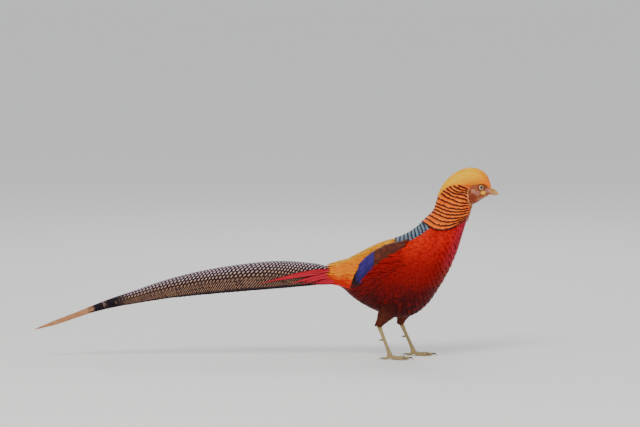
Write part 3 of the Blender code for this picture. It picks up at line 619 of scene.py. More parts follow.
def faceTone(f):
    # the colours of the face by place, the same for its skin and its small feathers
    x, _, z = f.spot()
    soft = f.noise(170, 3)

    def oval(centre, width, height, edge=.35, tilt=.0):
        across = x - centre[0]
        far = (across / width) ** 2.0 + ((z - centre[1] - across * tilt) / height) ** 2.0
        return (far + (soft - .5) * .7).step(1.0, edge)

    eye, ear = faceShape["eye"], faceShape["ear"]
    tone = f.mix(soft * .8, palette["faceTan"], palette["faceRed"])
    tone = f.mix(oval((.4740, .3620), .0085, .0055) * .75, tone, palette["lore"])
    tone = f.mix(oval((.4435, .3480), .0120, .0150, .0) * .8, tone, palette["faceRed"])
    tone = f.mix(oval((.4530, .3575), .0095, .0070, .0) * .65, tone, palette["lore"])
    tone = f.mix(oval((.4640, .3465), .0150, .0030, .1, .5) * .85, tone, palette["lore"])
    tone = f.mix(oval(ear, .0060, .0060, .0) * .65, tone, palette["earPink"])
    tone = f.mix(oval(eye, .0112, .0104, .55) * .75, tone, palette["eyeRing"])
    tone = f.mix((z - (x - .45) * .45).step(.3400, .3340) * .8, tone, palette["throat"])
    return tone


def skinFinish():
    f = Finish("skin")
    u, v, face = f.attribute("place")
    marks, _, wattle = f.attribute("lie")
    red, _ = redTone(f, u, v)
    # painted shade: under the coat the skin is a darker copy of the coat's colours, wine under the red, deep orange
    # under the cape and amber under the rump's gold
    base = f.mix(.65, red, palette["wine"])
    cape = u.step(9.0, 10.2)
    base = f.mix(cape, base, palette["orangeDeep"])
    gold = u.step(6.4, 5.4) * abs(v).step(1.6, 1.2)
    base = f.mix(gold, base, palette["amber"])
    fine = f.noise(900, 3)
    tan = faceTone(f)
    tan = f.mix(wattle, tan, palette["wattleYellow"])
    # painted shade along the mouth and round the eye, in the throat's colour, and darker towards the face's bottom
    tan = f.mix(marks, tan, palette["throat"])
    base = f.mix(face, base, tan)
    return f.done(base, .6, f.bump(fine, .35, .0006))


def wingFinish():
    f = Finish("wingVanes")
    t, w, tone = f.attribute("lie")
    run, _, tint = f.attribute("place")
    streak = f.noise(90, 3)
    colour = f.mix(streak, palette["maroon"], palette["maroonDeep"])
    colour = f.mix(tint.step(.3, .8), colour, palette["violet"])
    # the low end of the wing is dark
    dark = (tint + (streak - .5) * .4 + run.step(.76, .95)).step(1.2, 1.8)
    colour = f.mix(dark, colour, palette["umber"])
    shaft = abs(w).step(.10, .03)
    colour = f.mix(shaft * .5, colour, palette["barBlack"])
    edge = abs(w).step(.8, 1.0) * .5 + t.step(.9, 1) * .5
    colour = f.mix(edge * .85, colour, palette["barBlack"])
    colour = f.mix(tone * .45, colour, palette["barBlack"])
    return barbed(f, colour, t, w, 40, .28, palette["barBlack"], .38, .15)


def tailFinish():
    f = Finish("tailVanes")
    t, w, tone = f.attribute("lie")
    run, across, share = f.attribute("place")
    wobbleA, wobbleB = f.noise(70, 2), f.noise(70, 2, vector=f.join(run, across, 3.1))
    lean, tall, wide = math.radians(50), .0082, .0060
    p = (run * math.cos(lean) + across * math.sin(lean)) / tall + (wobbleA - .5) * .5
    q = (across * math.cos(lean) - run * math.sin(lean)) / wide + (wobbleB - .5) * .4
    column = q - q % 1.0
    p = p + (column % 2.0) * .5
    dp, dq = (p % 1.0) - .5, (q % 1.0) - .5
    spots = ((dp * dp) / .135 + (dq * dq) / .070).step(1.1, .7)
    # lower down the spots draw out into thin wavy bars, broken here and there
    fine = ((q * 1.6) % 1.0) - .5
    bars = (abs(fine) + (wobbleA - .5) * .16).step(.22, .12) * (abs(dp) + (wobbleB - .5) * .5).step(.50, .40)
    side = (share + (wobbleB - .5) * .12).step(.60, .76)
    pale = f.mix(share.step(.20, .62), palette["netPale"], palette["netTan"])
    colour = f.mix(spots * (1 - side), palette["netDark"], pale)
    colour = f.mix(bars * side * share.step(.97, .90), colour, palette["netTan"])
    shaft = abs(w).step(.030, .010)
    colour = f.mix(shaft * .6, colour, palette["cinnamonDark"])
    edge = abs(w).step(.95, 1.0)
    colour = f.mix(edge * .6, colour, palette["netDark"])
    # towards the tip the net closes up, and the last of the tail is plain
    blot = f.noise(85, 3)
    colour = f.mix(run.step(.400, .445) * blot.step(.68, .58), colour, palette["netDark"])
    mottle = (run + (blot - .5) * .05).step(.495, .512)
    tip = f.mix(f.noise(30, 3, (1, 4, 4)) * 1.2 - .1, palette["cinnamon"], palette["cinnamonDark"])
    tip = f.mix(across.step(.0030, .0005) * .7, tip, palette["cinnamonDark"])
    colour = f.mix(mottle, colour, tip)
    return barbed(f, colour, run * 20, w, 26, .16, palette["netDark"], .40, .15, .35, .25, .0003)


def spearFinish():
    f = Finish("spearVanes")
    t, w, tone = f.attribute("lie")
    streak = f.noise(4, 3, vector=f.join(t * 2, w * 3, tone * 40))
    colour = f.mix(streak.step(.35, .7), palette["spear"], palette["crimson"])
    # painted highlight: a pale streak beside the shaft
    colour = f.mix((w + .25).step(-.35, -.05) * (w + .25).step(.35, .05) * .55, colour, palette["spearHighlight"])
    colour = f.mix(abs(w).step(.62, .95) * .85, colour, palette["wine"])
    return barbed(f, colour, t, w, 50, .15, palette["crimson"], .38, .1)


def eyeFinish():
    f = Finish("eyeGloss", Coat_Weight=.4, Coat_Roughness=.03, Specular_IOR_Level=.3)
    turn, around, _ = f.attribute("lie")
    rays = f.noise(4, 3, vector=f.join(around * 3, turn * 1.5, 0))
    iris = f.mix(rays, palette["irisCream"], palette["irisTan"])
    iris = f.mix(turn.step(.70, .86), iris, palette["irisTan"])
    pupil = turn.step(.58, .54)
    # painted shade: the eyeball goes black where it meets the lid
    rim = turn.step(.86, .94)
    colour = f.mix(pupil.most(rim), iris, palette["pupil"])
    return f.done(colour, .12)


def billFinish():
    f = Finish("billHorn", Coat_Weight=.15, Coat_Roughness=.3, Specular_IOR_Level=.4)
    run, high, hole = f.attribute("lie")
    streak = f.noise(90, 3, (.25, 1, 1))
    colour = f.mix(streak, palette["horn"], palette["hornStreakAndShade"])
    # darker along the upper ridge, and as painted shade in the gap where the halves meet and under the lower half
    colour = f.mix(abs(high).step(.78, .96) * .7, colour, palette["hornStreakAndShade"])
    colour = f.mix(run.step(.75, 1) * .4, colour, palette["hornTip"])
    # painted shade: the nostril's hole is near black
    colour = f.mix(hole, colour, palette["pupil"])
    return f.done(colour, streak * .15 + .30, f.bump(streak, .2, .0003))


def legFinish(name, plain, deep, rough):
    f = Finish(name)
    run, around, kind = f.attribute("lie")
    patchy = f.noise(140, 3)
    colour = f.mix(patchy * .8, plain, deep)
    colour = f.mix(((run / scutes) % 1.0).step(.80, .98) * .5, colour, deep)
    colour = f.mix(kind * .5, colour, deep)
    fine = f.noise(900, 2)
    return f.done(colour, rough, f.bump(fine, .3, .0003))


def downFinish(name, plain, deep, top):
    f = Finish(name)
    t, w, tone = f.attribute("lie")
    run, _, _ = f.attribute("place")
    patchy = f.noise(70, 3)
    colour = f.mix(tone * .6 + patchy * .4, plain, deep)
    # painted shade: towards the hip the feathers darken to the colour given as top, wine for the thighs, under the body
    colour = f.mix((run + (patchy - .5) * .4).step(.80, .30), colour, top)
    colour = f.mix((1 - t) * .4, colour, deep)
    return barbed(f, colour, t, w, 14, .15, deep, .62, strength=.25, depth=.0003)


def faceFinish():
    f = Finish("faceDown")
    t, w, tone = f.attribute("lie")
    _, _, rim = f.attribute("place")
    colour = f.mix(tone * .35, faceTone(f), palette["faceRed"])
    colour = f.mix((1 - t) * .3, colour, palette["faceRed"])
    colour = f.mix(rim * .8, colour, palette["cheekRim"])
    return f.done(colour, .6)


scarlet = redFinish()
capeSilk = capeFinish()
mantleSteel = mantleFinish()
crestSilk = crestFinish()
rumpSilk = rumpFinish()
wingVanes = wingFinish()
tailVanes = tailFinish()
spearVanes = spearFinish()
eyeGloss = eyeFinish()
billHorn = billFinish()
legHorn = legFinish("legHorn", palette["legHorn"], palette["legShade"], .5)
clawHorn = legFinish("clawHorn", palette["clawPale"], palette["clawDark"], .35)
chestnutDown = downFinish("chestnutDown", palette["chestnut"], palette["chestnutDark"], palette["wine"])
print("finishes made")


# Skin: one closed form under the coat, with the bare parts of the face worked into it

faceShape = {
    "eye": (.4619, .3691), "eyeRadius": .0063, "eyeDepth": .0038,
    "lidRadius": .0059, "lidHeight": .0011, "lidWidth": .0009,
    "wattle": (.4670, .3580), "wattleSize": (.0060, .0050, .0013),
    "ear": (.4446, .3615), "earSize": (.0050, .0042, .0008),
    "mouth": ((.4862, .3562), (.4790, .3556), (.4740, .3546), (.4700, .3530)),
    # z against x of the cheek's rear edge
    "edge": ((.325, .332, .340, .350, .360, .371, .385), (.4480, .4425, .4372, .4338, .4335, .4370, .452)),
}
faceDown = faceFinish()
redSkin = skinFinish()


def eyeFrame(side):
    a, b = body.find(*faceShape["eye"], side)
    outward = body.slopes(np.array([a]), np.array([b]))[2][0]
    return body.point(a, b) - outward * faceShape["eyeDepth"], outward


eyes = {side: eyeFrame(side) for side in sideNames}


def eyeDistance(points):
    # how far points are from the nearer eye's axis
    far = []
    for side, (centre, outward) in eyes.items():
        off = points - centre
        out = np.linalg.norm(off - dots(off, outward) * outward, axis=-1)
        far.append(np.where(points[..., 1] * side > 0, out, 1))
    return np.minimum(*far)


def spotShare(points, centre, size):
    # 1 in the middle of an oval seen from the side, 0 outside it
    r = ((points[..., 0] - centre[0]) / size[0]) ** 2 + ((points[..., 2] - centre[1]) / size[1]) ** 2
    return np.clip(1 - r, 0, 1)


def lineDistance(points, line):
    # how far points are from a line, as seen from the side
    flat, line = points[..., [0, 2]], np.array(line)
    far = []
    for start, end in zip(line[:-1], line[1:]):
        t = np.clip(((flat - start) @ (end - start)) / ((end - start) @ (end - start)), 0, 1)
        far.append(np.linalg.norm(flat - start - t[..., None] * (end - start), axis=-1))
    return np.min(far, axis=0)


def faceShare(points):
    # 1 on the face, 0 behind the cheek's rear edge
    edge = np.interp(points[..., 2], *faceShape["edge"])
    return np.clip((points[..., 0] - edge) / .0020 + .5, 0, 1)


def skinHeight(u, points):
    # how far the skin lies off the body's form: under the coat, round the eye, and along the mouth
    f = faceShape
    height = -np.interp(u, (1.2, 2.2, 8, 12.4, 13.1, 16), (.0022, .0030, .0034, .0026, .0012, .0004))
    face = faceShare(points)
    r = eyeDistance(points)
    height = height + f["lidHeight"] * np.exp(-((r - f["lidRadius"]) / f["lidWidth"]) ** 2)
    height = height + .0004 * np.exp(-((r - f["lidRadius"] - .0021) / .0006) ** 2)
    height = height - .0050 * fade(r, .0054, .0047)
    height = height + f["wattleSize"][2] * spotShare(points, f["wattle"], f["wattleSize"]) ** .5
    height = height + f["earSize"][2] * spotShare(points, f["ear"], f["earSize"])
    mouth = lineDistance(points, f["mouth"])
    height = height - .0011 * np.exp(-(mouth / .0006) ** 2) + .0004 * np.exp(-((mouth - .0013) / .0006) ** 2)
    return height, face, r, mouth


skinMake = {"rows": 250, "sides": 168, "headShare": .62}


def buildSkin():
    rows = skinMake["rows"]
    bodyRows = int(rows * (1 - skinMake["headShare"]))
    stations = np.concatenate((np.linspace(1.2, 12.4, bodyRows, endpoint=False),
                               np.linspace(12.4, 16.0, rows - bodyRows)))
    angles = np.linspace(0, fullTurn, skinMake["sides"], endpoint=False)
    u, v = np.meshgrid(stations, angles, indexing="ij")
    v = np.where(v > math.pi, v - fullTurn, v)
    flat = body.point(u, v)
    height, face, r, mouth = skinHeight(u, flat)
    # painted shade in the mouth's groove and in the gap round the eye, and the face darker towards its bottom
    dark = np.exp(-(mouth / .0007) ** 2) + .6 * fade(r, .0054, .0049) + .7 * fade(flat[..., 2], .347, .336)
    wattle = spotShare(flat, faceShape["wattle"], faceShape["wattleSize"]) ** .5
    trunk = (cappedPoints(body.at(u, v, height)), tubeTriangles(rows, skinMake["sides"]),
             capped(np.stack((np.clip(dark, 0, 1), 0 * r, wattle), -1), np.zeros((2, 3))),
             capped(np.stack((u, v, face), -1), [(1.2, 0, 0), (16, 0, 1)]),
             capped(bodyUnwrap(u, v), [(.05, .5), (.95, .5)]))
    points, triangles, marks, place, flatMap = joinParts([trunk] + [thighSkin(side) for side in sideNames])
    piece = shapeMesh("skin", points, triangles, {"lie": marks, "place": place}, flatMap, redSkin)
    settle(piece, "breast_scarlet", "head", "neck", "torso", "rump", "tail_coverts", "thigh_right", "thigh_left")


# Legs, from the solids' own joints

legShape = {
    "hip": {rightSide: (.2800, -.0190, .1330), leftSide: (.3090, .0190, .1330)},
    "heel": {rightSide: (.2420, -.0300, .0740), leftSide: (.2905, .0300, .0740)},
    "foot": {rightSide: (.2655, -.0330, 0), leftSide: (.3180, .0330, 0)},
    "thighShares": (0, .35, .68, .90, 1.15), "thighRadii": (.0250, .0225, .0140, .0082, .0060),
    "shankShares": (-.06, .08, .30, .60, .82, 1.0, 1.12),
    "shankRadii": (.0056, .0048, .0037, .0034, .0037, .0046, .0044),
    "ankle": .0125,
    # toes: degrees out from straight ahead, length, radius
    "toes": ((-28, .033, .0031), (1, .043, .0034), (30, .034, .0031), (172, .014, .0027)),
    "claw": .0090,
}


def limbPoint(start, end, radius):
    # a straight round limb: a runs along it from 0 to 1, b round it
    start, end = np.array(start, float), np.array(end, float)
    course = unit(end - start)
    first = unit(np.cross(course, (0, 1, 0)))
    second = np.cross(course, first)

    def at(a, b):
        a, b = np.asarray(a, float), np.asarray(b, float)
        size = radius(a)[..., None]
        return (start + (end - start) * a[..., None]
                + size * (first * np.cos(b)[..., None] + second * np.sin(b)[..., None]))

    return at


def thighLie(side):
    radius = lambda a: np.interp(a, legShape["thighShares"], legShape["thighRadii"])
    return Lie(limbPoint(legShape["hip"][side], legShape["heel"][side], radius), 1)


def thighSkin(side):
    lie = thighLie(side)
    rows, sides = 30, 40
    a, b = np.meshgrid(np.linspace(.05, 1.04, rows), np.linspace(0, fullTurn, sides, endpoint=False), indexing="ij")
    depth = np.interp(a, (0, .8, 1.04), (.0020, .0016, .0012))
    marks = capped(np.zeros((rows, sides, 3)))
    flatMap = thighUnwrap(side)(a, b)
    return (cappedPoints(lie.at(a, b, -depth)), tubeTriangles(rows, sides), marks, marks + (5.0, 3.0, 0),
            capped(flatMap, flatMap[0, :2]))


def thighUnwrap(side):
    left = .02 if side == rightSide else .22
    return lambda a, b: np.stack((left + .16 * a, .01 + .012 * (1 + np.cos(b))), -1)


buildSkin()


# Places for many feathers: rows round the body, evenly spaced


def tiers(lie, start, end, rowStep, step, jitter=.18):
    # even rows of roots over the whole body between two stations, each moved half a place
    spots = []
    mean = .5 * (np.linalg.norm(lie.slopes(np.array([start]), np.array([0.0]))[0])
                 + np.linalg.norm(lie.slopes(np.array([end]), np.array([math.pi]))[0]))
    count = max(int(abs(end - start) * mean / rowStep), 2)
    fine = np.linspace(-math.pi, math.pi, 241)
    for number, u in enumerate(np.linspace(start, end, count)):
        run = runAlong(lie.point(np.full_like(fine, u), fine))
        places = max(int(run[-1] / step), 6)
        at = (np.arange(places) + .5 * (number % 2)) / places * run[-1]
        at = at + (rng.random(places) - .5) * jitter * step
        v = np.interp(at, run, fine)
        uu = u + (rng.random(places) - .5) * jitter * rowStep / mean
        spots.append(np.stack((uu, v), -1))
    return np.concatenate(spots).T


def goldEdge(points):
    # how far ahead of the wing's rear edge points are, as seen from the side
    heights, edge = (.1446, .1705, .2288, .2590, .2750), (.187, .1978, .2365, .2795, .31)
    return points[..., 0] - np.interp(points[..., 2], heights, edge)


scaleShape = (.55, .85, 1.0, .98, .80, .35)
squareShape = (.60, .85, .97, 1.0, 1.0, 1.0, .97, .86, .60)
bladeShape = (.45, .75, .92, 1.0, 1.0, .97, .90, .72, .35)
plumeShape = (.4, .8, 1.0, 1.0, .9, .65, .18)
silkShape = (.6, 1.0, 1.0, .9, .75, .5, .1)

breastMake = {"rowStep": .0046, "step": .0050, "length": .021, "half": .0047, "lift": (-.0030, -.0016, -.0006, .0004)}


def buildBreast():
    make = breastMake
    coats = {"breast": Coat(), "belly": Coat()}
    u, v = tiers(body, 11.6, 2.6, make["rowStep"], make["step"])
    points = body.point(u, v)
    keep = (goldEdge(points) > -.012) | (np.abs(v) > 2.0)
    keep &= ~((np.abs(v) < .50) & (u < 9.4) & (u > 5.0))
    keep &= u < np.interp(np.abs(v), (0, 1.4, 2.88, 3.14), (9.6, 9.9, 11.2, 11.8))
    for name, part in (("breast", keep & (u > 7.3)), ("belly", keep & (u <= 7.3))):
        a, b = u[part], v[part]
        n = len(a)
        heading = rng.normal(0, .07, n) + np.sign(b) * np.interp(a, (3, 6, 8), (.18, .22, 0)) * np.sin(np.abs(b))
        coats[name].add(body, a, b, make["length"] * rng.uniform(.85, 1.15, n), make["half"], make["lift"],
                        scaleShape, heading=heading)
        coats[name].build(name + "Coat", scarlet, "breast_scarlet")


capeMake = {
    # lines that some tiers end on, by tier from the head: x, z from nape to throat as seen from the side
    "lines": {
        0: ((.3999, .3797), (.4128, .3721), (.4257, .3678), (.4321, .3667)),
        2: ((.3741, .3775), (.3984, .3663), (.4098, .3590), (.4242, .3559), (.4321, .3570)),
        5: ((.3623, .3624), (.3788, .3527), (.3932, .3452), (.4098, .3374), (.4261, .3344), (.4365, .3365)),
        7: ((.3685, .3333), (.3932, .3242), (.4199, .3223), (.4386, .3268)),
        10: ((.3510, .3165), (.3790, .3060), (.4070, .3036), (.4370, .3150)),
        13: ((.3343, .2918), (.3522, .2832), (.3810, .2800), (.4014, .2858), (.4180, .2944), (.4300, .3028)),
    },
    "tiers": 14, "step": .0040, "half": .0052, "length": (.014, .034),
    "lift": (-.0032, -.0014, .0004, .0014, .0022), "smoothing": 31,
}


def capeTips(fine):
    # for every tier, the stations of its tips at angles round the neck
    aa, bb = np.meshgrid(np.arange(7.5, 14.5, .02), np.arange(.04, 3.12, .02), indexing="ij")
    flat = capeTop.point(aa, bb)[..., [0, 2]]
    found = []
    for line in capeMake["lines"].values():
        best = [np.argmin(((flat - spot) ** 2).sum(-1)) for spot in np.array(line)]
        order = np.argsort(bb.flat[best])
        found.append(np.interp(np.abs(fine), bb.flat[best][order], aa.flat[best][order]))
    found, keys = np.array(found), list(capeMake["lines"])
    tips = np.array([np.interp(range(capeMake["tiers"]), keys, column) for column in found.T]).T
    wide = capeMake["smoothing"]
    padded = np.concatenate((tips[:, wide // 2:0:-1], tips, tips[:, -2:-wide // 2 - 1:-1]), 1)
    return np.array([np.convolve(row, np.ones(wide) / wide, "valid") for row in padded])


def covered(u, v):
    # true on the face and under the gold of the crest
    gold = (np.abs(v) < crestEdge(u) * crestShape["seen"]) & (u > 10.1)
    return gold | (faceShare(capeTop.point(u, v)) > .5)


def buildCape():
    make = capeMake
    coat = Coat()
    fine = np.linspace(-math.pi, math.pi, 361)
    for number, tips in enumerate(capeTips(fine)):
        share = number / (make["tiers"] - 1)
        run = runAlong(capeTop.point(tips, fine))
        places = int(run[-1] / make["step"])
        at = (np.arange(places) + .5 * (number % 2) + rng.normal(0, .06, places)) / places * run[-1]
        v = np.interp(at, run, fine)
        tip = np.interp(v, fine, tips)
        seen = ~covered(tip, v)
        v, tip = v[seen], tip[seen]
        ahead, behind = (capeTop.point(np.interp(v + turn, fine, tips), v + turn) for turn in (.02, -.02))
        along, _, normal = capeTop.slopes(tip, v)
        course = np.cross(normal, unit(ahead - behind))
        course = course * -np.sign(dots(course, along))
        n = len(v)
        length = np.interp(share, (0, 1), make["length"]) * np.ones(n)
        # the root lies up the neck from the tip, but never on the face or the gold
        steps = 12
        line, _ = capeTop.trail(tip, v, length + rng.normal(0, .00025, n), steps, toward=-course)
        hidden = covered(line[0], line[1])
        root = np.where(hidden.any(1), hidden.argmax(1), steps)
        ok, some = root >= 2, np.arange(n)
        coat.add(capeTop, line[0][some, root][ok], line[1][some, root][ok], (length * root / steps)[ok], make["half"],
                 make["lift"], squareShape, columns=5, camber=.0004, heading=rng.normal(0, .02, ok.sum()),
                 toward=course[ok], group=(length * root / steps)[ok][:, None, None])
    coat.build("capeCoat", capeSilk, "cape_orange")


mantleMake = {"rows": 10, "first": 9.1, "last": 6.25, "reach": (42, 25), "step": .0044, "length": .022, "half": .0040,
              "lift": (-.0030, -.0012, .0002, .0012)}


def buildMantle():
    make = mantleMake
    coat = Coat()
    for number, u in enumerate(np.linspace(make["first"], make["last"], make["rows"])):
        reach = math.radians(np.interp(number, (0, make["rows"] - 1), make["reach"]))
        around = np.linalg.norm(body.slopes(np.array([u]), np.array([0.0]))[1])
        count = int(2 * reach * around / make["step"])
        v = np.linspace(-reach, reach, count)
        coat.add(body, np.full(count, u) - np.abs(v) * .1 + rng.normal(0, .010, count), v, make["length"], make["half"],
                 make["lift"], squareShape, columns=5, camber=.0003, heading=rng.normal(0, .02, count),
                 group=make["length"])
    coat.build("mantleCoat", mantleSteel, "breast_scarlet")


rumpMake = {"rowStep": .0042, "step": .0023, "length": .034, "half": .0014,
            "lift": (-.0024, -.0004, .0006, .0013, .0020), "last lift": (-.0020, .0012, .0030, .0042, .0048)}


def buildRump():
    make = rumpMake
    coat = Coat()
    u, v = tiers(body, 5.75, 2.10, make["rowStep"], make["step"], .5)
    points = body.point(u, v)
    keep = (goldEdge(points) < .012) & (np.abs(v) < 2.5) & (np.abs(v) < np.interp(u, (2.4, 3.4, 5.8), (2.6, 2.3, 1.5)))
    a, b = u[keep], v[keep]
    n = len(a)
    length = make["length"] * rng.uniform(.75, 1.2, n)

    def lift(t, aa, bb):
        rear = fade(aa[:, :1, :1], 3.1, 2.5)
        plain = np.interp(t, np.linspace(0, 1, 5), make["lift"])
        last = np.interp(t, np.linspace(0, 1, 5), make["last lift"])
        return plain + (last - plain) * rear + rng.normal(0, .00022, (n, 1, 1))

    heading = rng.normal(0, .09, n) - np.sign(b) * .10 * np.sin(np.abs(b))
    coat.add(body, a, b, length, make["half"], lift, silkShape, heading=heading, thick=.00025)
    coat.build("rumpCoat", rumpSilk, "rump_gold")


crestMake = {"rows": 34, "step": .0013, "length": .044, "half": .00105, "shell": .88, "first": 15.75, "last": 11.1}


def buildCrest():
    make = crestMake
    # a closed core just under the locks
    rows, sides = 60, 61
    u, w = np.meshgrid(np.linspace(15.9, 10.15, rows), np.linspace(-1, 1, sides), indexing="ij")
    v = w * crestEdge(u) * .98
    high = np.maximum(crestHeight(u, v) * make["shell"], .0006)
    end = fade(u, 10.15, 10.5)
    low = np.where(u > 12.6, -.0005, .0035)
    top = body.at(u, v, low + .0004 + np.maximum(high - low - .0004, 0) * end)
    under = body.at(u, v, low)
    size = rows * sides
    points = np.concatenate((top.reshape(-1, 3), under.reshape(-1, 3)))
    grid = gridTriangles(rows, sides)
    rim = [r * sides for r in range(rows)] + [(rows - 1) * sides + c for c in range(1, sides)]
    rim += [r * sides + sides - 1 for r in range(rows - 2, -1, -1)] + list(range(sides - 2, 0, -1))
    rim = np.array(rim)
    after = np.roll(rim, -1)
    walls = np.concatenate((np.stack((rim, after, after + size), -1), np.stack((rim, after + size, rim + size), -1)))
    place = np.stack((u, w, u * 0), -1).reshape(-1, 3)
    share = np.stack((u * 0 + .5, u * 0, u * 0 + .4), -1).reshape(-1, 3)
    piece = shapeMesh("crestCore", points, np.concatenate((grid, grid[:, ::-1] + size, walls)),
                      {"lie": np.concatenate((share, share)), "place": np.concatenate((place, place))},
                      np.tile(bodyUnwrap(u, v).reshape(-1, 2), (2, 1)), crestSilk)
    settle(piece, "crest_gold", "crest")
    coat = Coat()
    for u in np.linspace(make["first"], make["last"], make["rows"]):
        ring = np.linalg.norm(crestTop.slopes(np.array([u]), np.array([0.0]))[1])
        count = int(2 * ring / make["step"])
        v = (np.arange(count) + rng.random(count)) / count * 1.98 - .99
        n = len(v)
        length = make["length"] * rng.uniform(.85, 1.05, n) * np.interp(u, (11.1, 12.2, 13.2, 15.7), (.52, .80, 1, .9))
        offset = rng.uniform(-.0009, .0004, (n, 1, 1))

        def lift(t, aa, bb):
            rise = np.interp(t, (0, .25, 1), (-.0035, -.0006, .0003))
            return rise + offset

        coat.add(crestTop, np.full(n, u) + rng.normal(0, .04, n), v, length, make["half"], lift, silkShape,
                 heading=rng.normal(0, .03, n), thick=.0003)
    coat.build("crestCoat", crestSilk, "crest_gold")


buildBreast()
buildCape()
buildMantle()
buildRump()
buildCrest()
print("body coat made")


# Wings, folded on the body, with the long flank feathers over their front edge

wingShape = {
    "start": (.2920, .2465), "toward": (-.93, 0, -.37), "bend": .84, "length": .150,
    "half": (.0070, .0120, .0125, .0120, .0110, .0040),
    "depth": (.0020, .0050, .0056, .0045, .0030, .0012), "clear": .0008, "sunk": -.0015,
}
# first and last root along the wing, first and last place across it (1 at its rear edge), turn,
# length, half width, height at root and tip, feathers, tint from 0 maroon over 1 violet to 2 umber
wingFeathers = (
    (.50, .76, -.15, -.75, .02, .044, .0056, -.0002, .0004, 7, 2.0),
    (.42, .68, .55, -.55, .00, .046, .0062, .0000, .0010, 7, 1.4),
    (.30, .60, .95, -.70, .02, .052, .0062, .0004, .0018, 10, 1.0),
    (.24, .44, .95, -.80, .00, .034, .0060, .0008, .0024, 8, 1.0),
    (.18, .32, .90, -.90, .00, .026, .0056, .0008, .0026, 8, .15),
    (.08, .22, .90, -.90, .00, .026, .0056, .0006, .0026, 8, .05),
    (-.02, .12, .90, -.90, .00, .026, .0056, .0004, .0024, 8, 0),
    (-.12, .02, .80, -.80, .00, .026, .0052, -.0006, .0020, 6, 0),
)
flankMake = {
    # distance in front of the wing's middle, feathers, length
    "rows": ((.042, 16, .036), (.034, 18, .040), (.027, 20, .042), (.017, 26, .038)),
    "first": -.02, "last": .88, "turn": .42, "half": .0030, "lift": (-.0026, .0006, .0026, .0044),
}


def wingLine(side):
    start = [np.array([value]) for value in body.find(*wingShape["start"], side)]
    steps = 13              # past the tip, so that feathers can reach there
    line, sides = body.trail(*start, wingShape["length"] * steps / 10, steps,
                             bend=side * wingShape["bend"] * steps / 10, toward=wingShape["toward"])
    return smoothRows(np.concatenate((line[:, 0].T, sides[:, 0].T), 1))


wingRows = {side: wingLine(side) for side in sideNames}


def alongWing(values, t):
    return np.interp(t, np.linspace(0, 1, len(values)), values)


def wingSpot(side, t, front):
    # a place on the body by its share along the wing and its distance in front of the middle line
    row = wingRows[side](t * 10)
    return row[..., 0] + row[..., 2] * side * front, row[..., 1] + row[..., 3] * side * front


def wingHeight(t, e):
    return wingShape["clear"] + alongWing(wingShape["depth"], t) * np.maximum(1 - e * e, 0) ** .8


def wingLie(side):
    # a is the share along the wing, b the place across it, 1 on its left edge
    def point(a, b):
        u, v = wingSpot(side, a, b * side * alongWing(wingShape["half"], a))
        return body.at(u, v, wingHeight(a, b))

    return Lie(point, 1)


def wingUnwrap(side):
    return lambda a, b: np.stack((.1 + .6 * a, .25 + .1 * b + (.5 if side == leftSide else 0)), -1)


def buildWing(side):
    lie = wingLie(side)
    coat = Coat()
    rows, sides = 60, 25
    a, b = np.meshgrid(np.linspace(-.04, 1.02, rows), np.linspace(-1, 1, sides), indexing="ij")
    u, v = wingSpot(side, a, b * side * alongWing(wingShape["half"], a))
    top, low = lie.point(a, b), body.at(u, v, wingShape["sunk"])
    closed = np.concatenate((low[:, :1], top[:, 1:-1], low[:, -1:]), 1)
    coat.points.append(np.concatenate((closed.reshape(-1, 3), low[:, 1:-1].reshape(-1, 3))))
    coat.triangles.append(featherTriangles(rows, sides))
    spare = np.zeros((rows * sides + rows * (sides - 2), 3))
    tint = np.interp(a, (.22, .34, .62, .8), (0, 1, 1.1, 2))
    coat.place.append(np.concatenate((np.stack((a, b, tint), -1).reshape(-1, 3),
                                      np.stack((a, b, tint), -1)[:, 1:-1].reshape(-1, 3))))
    coat.lie.append(spare + (.3, 0, .5))
    flat = wingUnwrap(side)(a, b)
    coat.maps.append(np.concatenate((flat.reshape(-1, 2), flat[:, 1:-1].reshape(-1, 2))))
    coat.count = len(spare)
    for first, last, rear, front, turn, length, half, root, tip, count, tint in wingFeathers:
        share = np.linspace(0, 1, count)
        roots = first + (last - first) * share + rng.normal(0, .006, count)
        across = (rear + (front - rear) * share) * -side
        step = .00022 * (count - 1 - np.arange(count))[:, None, None]
        coat.add(lie, roots, across, length * rng.uniform(.95, 1.05, count), half,
                 lambda t, aa, bb: root + (tip - root) * t + step, bladeShape, columns=5, camber=.0007,
                 heading=side * turn + rng.normal(0, .03, count), group=tint, thick=.0004, unwrap=wingUnwrap(side))
    coat.build("wing_" + sideNames[side] + "_feathers", wingVanes, "wing_blue_brown", "wing_" + sideNames[side])


def buildFlanks():
    make = flankMake
    coat = Coat()
    for side in sideNames:
        for front, count, length in make["rows"]:
            t = np.linspace(make["first"], make["last"], count) + rng.normal(0, .012, count)
            u, v = wingSpot(side, t, front + rng.normal(0, .0012, count))
            turn = side * (wingShape["bend"] * t - make["turn"]) + rng.normal(0, .06, count)
            coat.add(body, u, v, length * rng.uniform(.85, 1.1, count), make["half"], make["lift"], plumeShape,
                     columns=5, heading=turn, toward=wingShape["toward"], camber=.0004)
    coat.build("flankCoat", scarlet, "breast_scarlet")


# Tail: long vanes nested in a roof, under the scarlet spears of the tail coverts

